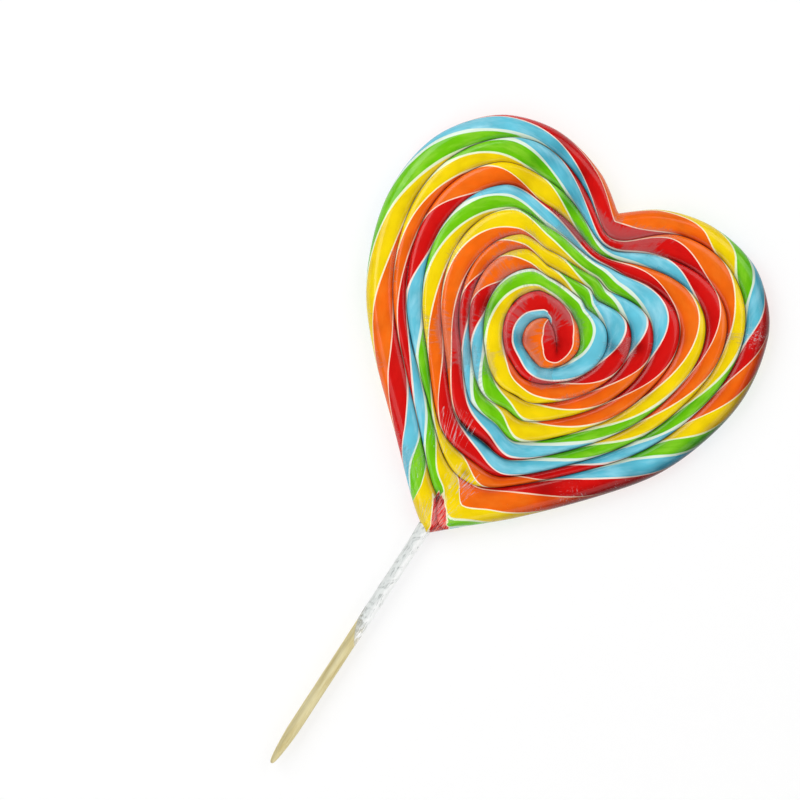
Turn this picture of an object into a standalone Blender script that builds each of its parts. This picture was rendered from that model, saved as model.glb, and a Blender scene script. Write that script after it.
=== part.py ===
"""A heart-shaped swirl lollipop, lying flat with its shown side up.

A twisted sugar rope is coiled from an eye outwards and pressed into a heart, a pointed wooden
stick is set into the tip, and the gathered end of the clear wrapper is drawn down round the stick.
The heart's axis runs along +Y, its tip and the stick point towards -Y, and +Z is up.

Run it with: blender --background --python part.py
Lengths here are millimetres, measured from the tip of the heart, until a mesh is made.
"""

import math

import bmesh
import bpy
import numpy as np

MM = 0.001

# Outline of the heart: its tip, the notch between its lobes, and the points between them
TIP = (0.0, 0.6)
NOTCH = (1.1, 137.2)
RIGHT_SIDE = (
    (10.5, 9.6), (26.9, 23.6), (50.0, 47.3), (63.4, 64.7), (72.2, 86.5), (75.0, 105.5),
    (71.4, 126.0), (64.1, 137.6), (52.2, 146.8), (33.0, 150.6), (14.6, 146.6),
)
LEFT_SIDE = (
    (-9.4, 8.2), (-28.2, 26.8), (-50.0, 48.3), (-63.6, 65.8), (-72.3, 87.0), (-75.0, 106.0),
    (-71.5, 125.2), (-62.4, 139.2), (-50.4, 148.2), (-32.0, 151.8), (-12.0, 146.6),
)
POINTS_PER_SPAN = 24

# Section of the sweet
THICKNESS = 9.6
FRONT_GROOVE = 1.1  # depth of the seam between two turns of rope, on the shown side
BACK_GROOVE = 0.7
CREST_POWER = 2.6  # how full each turn's crest is: 2 is round, more is flatter
BACK_FLAT = 0.4  # share of each turn that is pressed flat on the back, where the sweet lies
RIM_ROUND = 4.2  # how far in from the edge the rim starts to round down
FRONT_STATIONS = (0.25, 0.5, 0.75, 0.92)  # across a turn, 0 at its inner seam and 1 at its outer
BACK_STATIONS = (0.3, 0.7)

# The seam between the turns, pressed by hand and so uneven. It is given by its distance from the eye,
# to half a millimetre, one row for each lap of the rope, where it crosses these bearings, in degrees
# counter-clockwise from +X. The first lap starts part of the way round, and the last one ends where
# the rope meets the edge beside the tip.
EYE = (3.5, 85.7)
BEARINGS = (1, 38, 69, 85, 123, 138, 214, 247, 267, 282)
SEAM_START = 130.7
START_REACH = 6.5
FIRST_LAP = (7.5, 11.0, 10.5, 11.0, 11.5)
WHOLE_LAPS = (
    (10.5, 10.0, 10.5, 11.5, 15.5, 18.0, 18.0, 17.5, 18.0, 17.5),
    (19.0, 20.0, 16.5, 17.5, 22.0, 26.5, 25.0, 26.0, 25.0, 25.0),
    (26.5, 28.5, 21.5, 22.5, 26.0, 34.0, 30.0, 32.5, 31.0, 32.0),
    (33.5, 36.5, 27.0, 27.0, 32.0, 39.5, 33.5, 37.5, 37.5, 40.0),
    (40.0, 46.5, 35.5, 32.5, 40.5, 49.5, 39.5, 44.5, 45.5, 47.0),
    (47.0, 56.0, 42.0, 35.5, 48.5, 58.5, 46.0, 51.5, 53.5, 53.5),
    (53.0, 64.0, 48.5, 39.0, 58.0, 67.0, 51.0, 53.5, 61.0, 57.5),
)
LAST_LAP = (58.5, 71.0, 60.0, 43.5, 70.0, 75.5, 55.5, 59.5)
LAST_TURN = 8 * 360.0
CORNER_FROM = LAST_TURN + 263.7  # where the rope's end starts to run out to the edge
CORNER_REACH = 70.5
EDGE_FROM = LAST_TURN + 272.5  # where the seam has become the edge of the heart
MEAN_REACH = 68.0
BLUR = 20.0  # degrees over which the rope's first lap blurs the heart's corners
SHARP_LAP = 9.0  # the lap by which the corners have become sharp
LEAST_BLUR = 0.8
BLUR_REACH = 60
TAIL_END = (3.9, -3.6)  # inner end of the seam, from the eye
TAIL_PIECES = 8
STEPS_PER_LAP = 64

# Stick
STICK_RADIUS = 2.25
STICK_POINT = (-5.4, -100.0)
STICK_AT_TIP = (-1.2, 0.0)
STICK_IN_SWEET = 40.0
STICK_CLEARANCE = 0.3
POINT_RADIUS = 0.6
POINT_LENGTH = 11.0
END_CHAMFER = 0.4
STICK_SIDES = 20
CUTTER_SIDES = 24

# Gathered wrapper round the stick
SLEEVE_TOP = 1.6  # along the stick, from the tip of the heart: up to where the sweet's hole opens
SLEEVE_BOTTOM = -50.0
SLEEVE_WALL = 0.35
NECK_WALL = 1.1  # thickness of the bunched film just under the sweet
NECK_LENGTH = 7.0
PLEATS = 5
PLEAT_HEIGHT = 0.22
PLEAT_TURNS = 1.5  # how often the pleats wind round the stick
SLEEVE_SIDES = 24
SLEEVE_RINGS = 18


def clear_scene():
    """Remove whatever the scene holds."""
    for found in list(bpy.data.objects):
        bpy.data.objects.remove(found, do_unlink=True)


def curve_weights(at, knots):
    """Weights of the knots at each place on a smooth curve through them, one row for each place."""
    wide = np.concatenate(([2 * knots[0] - knots[1]], knots, [2 * knots[-1] - knots[-2]]))
    last = len(knots) - 1
    at = np.clip(at, knots[0], knots[-1])
    span = np.clip(np.searchsorted(wide, at, side="right") - 1, 1, last)
    length = wide[span + 1] - wide[span]
    share = (at - wide[span]) / length
    leave = (share**3 - 2 * share**2 + share) * length / (wide[span + 1] - wide[span - 1])
    arrive = (share**3 - share**2) * length / (wide[span + 2] - wide[span])
    blend = 3 * share**2 - 2 * share**3
    weights = np.zeros((len(at), last + 1))
    row = np.arange(len(at))
    for step, weight in ((-1, -leave), (0, 1 - blend - arrive), (1, blend + leave), (2, arrive)):
        np.add.at(weights, (row, np.clip(span - 1 + step, 0, last)), weight)
    return weights


def side_curve(side):
    """A smooth curve from the tip through the points of one side to the notch."""
    points = np.array((TIP, *side, NOTCH))
    chords = np.linalg.norm(np.diff(points, axis=0), axis=1)
    knots = np.concatenate(([0.0], np.cumsum(chords)))
    even = np.arange(len(chords) * POINTS_PER_SPAN + 1) / POINTS_PER_SPAN
    along = np.interp(even, np.arange(len(knots)), knots)
    return curve_weights(along, knots) @ points


def polar_outline():
    """Bearings and distances of the heart's outline from the eye, in order of bearing."""
    loop = np.concatenate((side_curve(RIGHT_SIDE), side_curve(LEFT_SIDE)[::-1][1:-1])) - EYE
    bearings = np.degrees(np.arctan2(loop[:, 1], loop[:, 0])) % 360
    order = np.argsort(bearings)
    return bearings[order], np.hypot(loop[:, 0], loop[:, 1])[order]


OUTLINE = polar_outline()


def edge(turned):
    """Distance from the eye to the edge of the heart."""
    return np.interp(turned, OUTLINE[0], OUTLINE[1], period=360)


def usual_reach(turned):
    """The distance that the seam's own values vary about: round at the eye, heart-shaped further out.

    Each lap takes up half of the heart's shape that is still missing. That shape is the outline with
    its corners blurred by a bell curve, which narrows with the root of the laps that are left.
    """
    laps = turned / 360
    blur = np.maximum(BLUR * np.sqrt(np.clip(1 - laps / SHARP_LAP, 0, 1)), LEAST_BLUR)
    offsets = np.arange(-BLUR_REACH, BLUR_REACH + 1, 2.0)
    bell = np.exp(-0.5 * (offsets / blur[:, None]) ** 2)
    soft = (edge(turned[:, None] + offsets) * bell).sum(axis=1) / bell.sum(axis=1)
    heart = 1 - 0.5**laps
    return soft**heart * MEAN_REACH ** (1 - heart)


def seam_knots():
    """The seam's measured places: degrees turned and distance from the eye."""
    turned = [SEAM_START] + [float(b) for b in BEARINGS[-len(FIRST_LAP):]]
    reach = [START_REACH, *FIRST_LAP]
    for lap, row in enumerate((*WHOLE_LAPS, LAST_LAP), start=1):
        turned += [360.0 * lap + bearing for bearing in BEARINGS[: len(row)]]
        reach += row
    return np.array(turned + [CORNER_FROM]), np.array(reach + [CORNER_REACH])


KNOTS, KNOT_REACH = seam_knots()
KNOT_SHARE = KNOT_REACH / usual_reach(KNOTS)


def seam(turned):
    """Distance from the eye to the seam after these degrees, as one array."""
    wound = curve_weights(turned, KNOTS) @ KNOT_SHARE * usual_reach(turned)
    out = np.clip((turned - CORNER_FROM) / (EDGE_FROM - CORNER_FROM), 0, 1)
    out = out * out * (3 - 2 * out)
    return wound * (1 - out) + edge(turned) * out


def front_drop(across, width, inner, outer, on_rim):
    """How far the shown face lies below its crests at a place across one turn of rope."""
    fall = inner * max(0.0, 1 - 2 * across) ** CREST_POWER
    if on_rim:
        return max(fall, rim_drop(across, width))
    return fall + outer * max(0.0, 2 * across - 1) ** CREST_POWER


def rim_drop(across, width):
    """How far the rounded rim lies below the crest: a quarter ellipse down to mid-thickness."""
    inward = min(1.0, (1 - across) * width / RIM_ROUND)
    return THICKNESS / 2 * (1 - math.sqrt(1 - (1 - inward) ** 2))


def back_drop(across, width, on_rim):
    """How far the back lies above the table at a place across one turn, flat in its middle."""
    off_flat = max(0.0, (abs(2 * across - 1) - BACK_FLAT) / (1 - BACK_FLAT))
    fall = BACK_GROOVE * off_flat**CREST_POWER
    return max(fall, rim_drop(across, width)) if on_rim else fall


def swirl_mesh():
    """The coiled rope pressed into a heart, as a closed mesh with the seam cut into both faces.

    The rope is a strip that winds outwards. Each row crosses it from its inner seam to its outer
    one, and the outer points of one lap are the inner points of the next. The first rows turn about
    the seam's inner tail, and on the last lap the outer points are the rim, which both faces share.
    """
    before_edge = int((EDGE_FROM - SEAM_START) * STEPS_PER_LAP / 360)
    last = before_edge + STEPS_PER_LAP
    turned = EDGE_FROM + (np.arange(last + 1) - before_edge) * 360 / STEPS_PER_LAP
    reach = seam(turned)
    angle = np.radians(turned)
    line = np.stack((reach * np.cos(angle), reach * np.sin(angle)), axis=1) + EYE

    mesh = bmesh.new()

    def point(place, height):
        return mesh.verts.new((place[0], place[1], height))

    front, back = [], []
    for step in range(last):
        if step < before_edge:
            front.append(point(line[step], THICKNESS - FRONT_GROOVE))
            back.append(point(line[step], BACK_GROOVE))
        else:
            rim = point(line[step], THICKNESS / 2)
            front.append(rim)
            back.append(rim)
    front.append(front[before_edge])
    back.append(back[before_edge])

    tail_line = np.linspace(line[0], np.add(EYE, TAIL_END), TAIL_PIECES + 1)
    front_tail, back_tail = [front[0]], [back[0]]
    for piece in range(1, TAIL_PIECES + 1):
        fade = 1 - piece / TAIL_PIECES
        front_tail.append(point(tail_line[piece], THICKNESS - FRONT_GROOVE * fade))
        back_tail.append(point(tail_line[piece], BACK_GROOVE * fade))

    front_rows, back_rows = [], []
    for row in range(last + 1):
        on_rim = row >= before_edge
        if row < STEPS_PER_LAP:
            piece = round(TAIL_PIECES * (1 - abs(2 * row / STEPS_PER_LAP - 1)))
            inner, inner_front, inner_back = tail_line[piece], front_tail[piece], back_tail[piece]
        else:
            inner = line[row - STEPS_PER_LAP]
            inner_front, inner_back = front[row - STEPS_PER_LAP], back[row - STEPS_PER_LAP]
        width = float(np.linalg.norm(line[row] - inner))
        if row in (0, last):
            front_rows.append([front[row]] * (len(FRONT_STATIONS) + 2))
            back_rows.append([back[row]] * (len(BACK_STATIONS) + 2))
            continue
        fall = THICKNESS - inner_front.co.z
        shown = [
            point(inner + (line[row] - inner) * across,
                  THICKNESS - front_drop(across, width, fall, FRONT_GROOVE, on_rim))
            for across in FRONT_STATIONS
        ]
        under = [
            point(inner + (line[row] - inner) * across, back_drop(across, width, on_rim))
            for across in BACK_STATIONS
        ]
        front_rows.append([inner_front, *shown, front[row]])
        back_rows.append([inner_back, *under, back[row]])

    for rows, flip in ((front_rows, False), (back_rows, True)):
        for one, two in zip(rows[:-1], rows[1:]):
            for left in range(len(one) - 1):
                corners = list(dict.fromkeys((one[left], one[left + 1], two[left + 1], two[left])))
                if len(corners) > 2:
                    mesh.faces.new(corners[::-1] if flip else corners)
    bmesh.ops.recalc_face_normals(mesh, faces=mesh.faces[:])
    return mesh


def tube_mesh(rings, sides):
    """Rings of points about +Z, each with its height and its radius by angle, without faces yet."""
    mesh = bmesh.new()
    loops = []
    for height, radius_at in rings:
        angles = [2 * math.pi * side / sides for side in range(sides)]
        loops.append([
            mesh.verts.new((radius_at(a) * math.cos(a), radius_at(a) * math.sin(a), height))
            for a in angles
        ])
    return mesh, loops


def bridge(mesh, one, two):
    """Faces between two rings of the same number of points."""
    count = len(one)
    for side in range(count):
        after = (side + 1) % count
        mesh.faces.new((one[side], one[after], two[after], two[side]))


def stick_frame():
    """Where the stick enters the sweet, and the angle that its axis leans from +Y."""
    run = STICK_AT_TIP[0] - STICK_POINT[0], STICK_AT_TIP[1] - STICK_POINT[1]
    return math.hypot(*run), math.atan2(run[0], run[1])


def lay_along_stick(made):
    """Turn a body built up +Z so that it lies along the stick, with its origin at the tip."""
    lean = stick_frame()[1]
    made.rotation_euler = (-math.pi / 2, 0.0, -lean)
    made.location = (STICK_AT_TIP[0] * MM, STICK_AT_TIP[1] * MM, THICKNESS / 2 * MM)
    return made


def add_object(name, mesh, material=None):
    """Put a finished bmesh into the scene as an object, turned from millimetres to metres."""
    bmesh.ops.scale(mesh, vec=(MM, MM, MM), verts=mesh.verts[:])
    data = bpy.data.meshes.new(name)
    mesh.to_mesh(data)
    mesh.free()
    made = bpy.data.objects.new(name, data)
    bpy.context.scene.collection.objects.link(made)
    if material:
        data.materials.append(material)
        data.shade_smooth()
        data.set_sharp_from_angle(angle=math.radians(40))
    return made


def finish(name, colour, roughness, transmission=0.0):
    """A plain material with the part's colour."""
    made = bpy.data.materials.new(name)
    made.use_nodes = True
    shader = made.node_tree.nodes["Principled BSDF"]
    shader.inputs["Base Color"].default_value = (*colour, 1.0)
    shader.inputs["Roughness"].default_value = roughness
    shader.inputs["Metallic"].default_value = 0.0
    shader.inputs["Transmission Weight"].default_value = transmission
    return made


def make_sweet():
    """The heart of coiled rope, with the hole that its stick sits in."""
    sugar = finish("boiled_sugar", (0.90, 0.35, 0.03), 0.15)
    sweet = add_object("candy_heart", swirl_mesh(), sugar)

    mouth = -3 * STICK_RADIUS
    radius = STICK_RADIUS + STICK_CLEARANCE
    ends = (mouth, STICK_IN_SWEET + STICK_CLEARANCE)
    mesh, loops = tube_mesh([(end, lambda angle: radius) for end in ends], CUTTER_SIDES)
    bridge(mesh, *loops)
    mesh.faces.new(loops[0][::-1])
    mesh.faces.new(loops[1])
    cutter = lay_along_stick(add_object("stick_hole", mesh))
    cutter.hide_render = True
    cutter.display_type = "WIRE"

    hole = sweet.modifiers.new("stick_hole", "BOOLEAN")
    hole.operation = "DIFFERENCE"
    hole.solver = "EXACT"
    hole.object = cutter
    return sweet, cutter


def make_stick():
    """The wooden stick: round, sharpened at its free end, with a small chamfer inside the sweet."""
    wood = finish("birch_wood", (0.68, 0.55, 0.32), 0.6)
    free = -stick_frame()[0]
    sections = (
        (free, POINT_RADIUS),
        (free + POINT_LENGTH / 3, (2 * POINT_RADIUS + STICK_RADIUS) / 2.6),
        (free + POINT_LENGTH, STICK_RADIUS),
        (0.0, STICK_RADIUS),
        (STICK_IN_SWEET - END_CHAMFER, STICK_RADIUS),
        (STICK_IN_SWEET, STICK_RADIUS - END_CHAMFER),
    )
    rings = [(height, lambda angle, radius=radius: radius) for height, radius in sections]
    mesh, loops = tube_mesh(rings, STICK_SIDES)
    for one, two in zip(loops[:-1], loops[1:]):
        bridge(mesh, one, two)
    mesh.faces.new(loops[0][::-1])
    mesh.faces.new(loops[-1])
    return lay_along_stick(add_object("stick", mesh, wood))


def make_sleeve():
    """The end of the wrapper drawn down round the stick, pleated, and thicker under the sweet."""
    film = finish("clear_film", (0.85, 0.88, 0.90), 0.2, transmission=0.6)
    inner = STICK_RADIUS + STICK_CLEARANCE

    def outside(height):
        down = (SLEEVE_TOP - height) / (SLEEVE_TOP - SLEEVE_BOTTOM)
        bunched = math.exp(-((SLEEVE_TOP - height) / NECK_LENGTH) ** 2)
        wall = SLEEVE_WALL + (NECK_WALL - SLEEVE_WALL) * bunched
        wind = 2 * math.pi * PLEAT_TURNS * down
        return lambda angle: inner + wall + PLEAT_HEIGHT * (0.5 + 0.5 * math.sin(PLEATS * angle + wind))

    heights = [
        SLEEVE_BOTTOM + (SLEEVE_TOP - SLEEVE_BOTTOM) * ring / (SLEEVE_RINGS - 1)
        for ring in range(SLEEVE_RINGS)
    ]
    rings = [(height, outside(height)) for height in heights]
    rings += [(height, lambda angle: inner) for height in (SLEEVE_TOP, SLEEVE_BOTTOM)]
    mesh, loops = tube_mesh(rings, SLEEVE_SIDES)
    for one, two in zip(loops, loops[1:] + loops[:1]):
        bridge(mesh, one, two)
    bmesh.ops.recalc_face_normals(mesh, faces=mesh.faces[:])
    return lay_along_stick(add_object("film_sleeve", mesh, film))


def centre_on_table(pieces, helpers):
    """Move everything so that the origin is under the middle of the whole lollipop's box."""
    bpy.context.view_layer.update()
    corners = [
        piece.matrix_world @ vertex.co for piece in pieces for vertex in piece.data.vertices
    ]
    low = [min(corner[axis] for corner in corners) for axis in range(3)]
    high = [max(corner[axis] for corner in corners) for axis in range(3)]
    frame = bpy.data.objects.new("lollipop", None)
    bpy.context.scene.collection.objects.link(frame)
    for piece in (*pieces, *helpers):
        piece.parent = frame
    frame.location = (-(low[0] + high[0]) / 2, -(low[1] + high[1]) / 2, -low[2])


def main():
    """Build the lollipop."""
    clear_scene()
    sweet, cutter = make_sweet()
    centre_on_table((sweet, make_stick(), make_sleeve()), (cutter,))


if __name__ == "__main__":
    main()
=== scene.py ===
"""Looks of a wrapped, heart-shaped swirl lollipop, lying flat with its shown side up.

The sweet is a twisted sugar rope in five colours, coiled from an eye outwards and pressed into a heart.
A clear film lies skin-tight on it, and its gathered end is twisted down round a pointed wooden stick.
Lengths here are millimetres, measured from the tip of the heart, until a mesh is made.
"""

import logging
import math
from collections.abc import Callable, Iterable, Sequence
from dataclasses import dataclass, field
from enum import Enum
from functools import partial
from typing import Any

import bpy
import numpy as np
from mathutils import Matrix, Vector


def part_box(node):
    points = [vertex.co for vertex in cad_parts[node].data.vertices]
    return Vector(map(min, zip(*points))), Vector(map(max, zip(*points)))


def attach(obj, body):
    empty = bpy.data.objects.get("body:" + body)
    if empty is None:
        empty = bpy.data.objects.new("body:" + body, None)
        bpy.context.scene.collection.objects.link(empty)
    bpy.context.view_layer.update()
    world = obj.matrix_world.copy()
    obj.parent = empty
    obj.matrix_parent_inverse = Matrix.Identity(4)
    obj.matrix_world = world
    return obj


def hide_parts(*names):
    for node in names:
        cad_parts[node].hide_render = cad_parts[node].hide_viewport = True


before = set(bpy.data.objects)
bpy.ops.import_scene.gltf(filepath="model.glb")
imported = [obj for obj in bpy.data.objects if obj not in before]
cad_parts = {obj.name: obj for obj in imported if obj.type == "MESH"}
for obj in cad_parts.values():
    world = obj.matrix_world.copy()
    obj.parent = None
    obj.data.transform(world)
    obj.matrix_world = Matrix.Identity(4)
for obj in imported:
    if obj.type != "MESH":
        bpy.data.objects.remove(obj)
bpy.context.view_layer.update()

LOG = logging.getLogger("lollipop")
MM = 0.001
Array = np.ndarray
Laps = tuple[tuple[tuple[float, float], ...], ...]
Places = tuple[tuple[float, float, float, float], ...]
Inputs = dict[str | int, Any]
Stops = Sequence[tuple[float, tuple[float, ...]]]
Add = Callable[..., bpy.types.Node]
Socket = bpy.types.NodeSocket
NONE, FULL = (0.0, 0.0, 0.0, 1.0), (1.0, 1.0, 1.0, 1.0)
# The colour inputs of a Mix node have numbers, because it uses each name for every type of value.
FIRST, SECOND = 6, 7
# A noise rarely leaves this range.
NOISE_LOW, NOISE_HIGH = 0.3, 0.7


class Stripe(Enum):
    """The rope's colours in the order in which they lie round it, as sRGB hex values."""

    RED = "D40D0A"
    ORANGE = "F46A0A"
    YELLOW = "F4D402"
    GREEN = "70C808"
    BLUE = "68C6DC"


class Face(Enum):
    """The two faces of the sweet."""

    SHOWN = 1
    BACK = -1


def linear(hex_colour: str) -> tuple[float, float, float, float]:
    """Turn the six hex digits of an sRGB colour to linear red, green and blue, with an alpha of 1."""
    shares = [int(hex_colour[at : at + 2], 16) / 255 for at in (0, 2, 4)]
    return (*(s / 12.92 if s <= 0.04045 else ((s + 0.055) / 1.055) ** 2.4 for s in shares), 1.0)


def smooth_step(values: Array) -> Array:
    """Ease from 0 to 1 as 3 x squared less 2 x cubed, flat outside that range."""
    held = np.clip(values, 0, 1)
    return held * held * (3 - 2 * held)


def curve_weights(at: Array, knots: Array) -> Array:
    """Weights of the knots on a smooth curve: cubic spans whose slopes come from both neighbours.

    Args:
        at: Places to read the curve at.
        knots: Places of the knots, in rising order.

    Returns:
        One row of weights for each place, to be multiplied by the knots' values.
    """
    wide = np.concatenate(([2 * knots[0] - knots[1]], knots, [2 * knots[-1] - knots[-2]]))
    last = len(knots) - 1
    at = np.clip(at, knots[0], knots[-1])
    span = np.clip(np.searchsorted(wide, at, side="right") - 1, 1, last)
    length = wide[span + 1] - wide[span]
    share = (at - wide[span]) / length
    leave = (share**3 - 2 * share**2 + share) * length / (wide[span + 1] - wide[span - 1])
    arrive = (share**3 - share**2) * length / (wide[span + 2] - wide[span])
    blend = 3 * share**2 - 2 * share**3
    weights = np.zeros((len(at), last + 1))
    row = np.arange(len(at))
    for step, weight in ((-1, -leave), (0, 1 - blend - arrive), (1, blend + leave), (2, arrive)):
        np.add.at(weights, (row, np.clip(span - 1 + step, 0, last)), weight)
    return weights


@dataclass(frozen=True)
class Wander:
    """A smooth unevenness along a piece.

    It is a mean of sines with seeded lengths and phases, times the root of 2 and its size. Each
    sine's length is the period over a share drawn between the two shares.
    """

    size: float
    period: float
    seed: int
    waves: int = 5
    shares: tuple[float, float] = (0.8, 3.2)

    def at(self, places: Array) -> Array:
        """The unevenness at places along a piece, mostly between minus and plus its size.

        Args:
            places: The places, in the units of the period.

        Returns:
            The unevenness at each.
        """
        draw = np.random.default_rng(self.seed)
        rates = 2 * math.pi / self.period * draw.uniform(*self.shares, self.waves)
        phases = draw.uniform(0, 2 * math.pi, self.waves)
        waves = np.sin(places[..., None] * rates + phases)
        return self.size * (waves.mean(axis=-1) * math.sqrt(2))


def bells(flat: Array, places: Places) -> Array:
    """Bell curves about places given by x, y, radius and height.

    Each is its height times e to the power of minus the square of distance over radius.

    Args:
        flat: Where to read them, by row and station.
        places: The places.

    Returns:
        One layer of values for each place.
    """
    x, y, radius, height = np.array(places).T[..., None, None]
    away = (flat[..., 0] - x) ** 2 + (flat[..., 1] - y) ** 2
    return height * np.exp(-away / radius**2)


def make_piece(
    name: str,
    points: Array,
    triangles: Array,
    material: bpy.types.Material,
    uv_maps: dict[str, Array] | None = None,
    values: dict[str, Array] | None = None,
) -> bpy.types.Object:
    """Put a mesh into the scene, with its place in its points and its object at the origin.

    Args:
        name: The piece's name.
        points: Places in metres, one row each.
        triangles: Three point numbers a row.
        material: The piece's finish.
        uv_maps: For each map, one row for each corner of each triangle.
        values: For each attribute, one number for each point.

    Returns:
        The new object.
    """
    mesh = bpy.data.meshes.new(name)
    mesh.vertices.add(len(points))
    mesh.vertices.foreach_set("co", np.ascontiguousarray(points, np.float32).ravel())
    mesh.loops.add(triangles.size)
    mesh.loops.foreach_set("vertex_index", triangles.astype(np.int32).ravel())
    mesh.polygons.add(len(triangles))
    mesh.polygons.foreach_set("loop_start", np.arange(0, triangles.size, 3, dtype=np.int32))
    mesh.update(calc_edges=True)
    for title, corners in (uv_maps or {}).items():
        mesh.uv_layers.new(name=title).data.foreach_set("uv", corners.astype(np.float32).ravel())
    for title, numbers in (values or {}).items():
        made = mesh.attributes.new(title, "FLOAT", "POINT")
        made.data.foreach_set("value", numbers.astype(np.float32).ravel())
    mesh.validate()
    mesh.shade_smooth()
    mesh.materials.append(material)
    piece = bpy.data.objects.new(name, mesh)
    bpy.context.scene.collection.objects.link(piece)
    return piece


def ring_triangles(rings: int, sides: int, closed_length: bool = False) -> Array:
    """Triangles between neighbouring rings of points numbered ring by ring.

    Args:
        rings: How many rings.
        sides: Points in each ring.
        closed_length: True to join the last ring to the first.

    Returns:
        Three point numbers a row, pointing out where rings run along +Z and points turn left.
    """
    ring = np.arange(rings if closed_length else rings - 1)[:, None]
    side = np.arange(sides)[None]
    after, beyond = (side + 1) % sides, (ring + 1) % rings
    a, b = ring * sides + side, ring * sides + after
    c, d = beyond * sides + after, beyond * sides + side
    return np.stack((a, b, c, a, c, d), axis=-1).reshape(-1, 3)


@dataclass(frozen=True)
class Outline:
    """Outline of the heart: its tip, the notch between its lobes, and the points between them."""

    tip: tuple[float, float] = (0.0, 0.6)
    notch: tuple[float, float] = (1.1, 137.2)
    right: tuple[tuple[float, float], ...] = (
        (10.5, 9.6), (26.9, 23.6), (50.0, 47.3), (63.4, 64.7), (72.2, 86.5), (75.0, 105.5),
        (71.4, 126.0), (64.1, 137.6), (52.2, 146.8), (33.0, 150.6), (14.6, 146.6),
    )
    left: tuple[tuple[float, float], ...] = (
        (-9.4, 8.2), (-28.2, 26.8), (-50.0, 48.3), (-63.6, 65.8), (-72.3, 87.0), (-75.0, 106.0),
        (-71.5, 125.2), (-62.4, 139.2), (-50.4, 148.2), (-32.0, 151.8), (-12.0, 146.6),
    )
    per_span: int = 24

    def side(self, points: tuple[tuple[float, float], ...]) -> Array:
        """A smooth curve from the tip through the points of one side to the notch.

        Args:
            points: The points of that side.

        Returns:
            Its points, as many to each span.
        """
        knots_at = np.array((self.tip, *points, self.notch))
        chords = np.linalg.norm(np.diff(knots_at, axis=0), axis=1)
        knots = np.concatenate(([0.0], np.cumsum(chords)))
        even = np.arange(len(chords) * self.per_span + 1) / self.per_span
        return curve_weights(np.interp(even, np.arange(len(knots)), knots), knots) @ knots_at

    def loop(self) -> Array:
        """The whole outline, up the right side and down the left."""
        return np.concatenate((self.side(self.right), self.side(self.left)[::-1][1:-1]))


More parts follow.
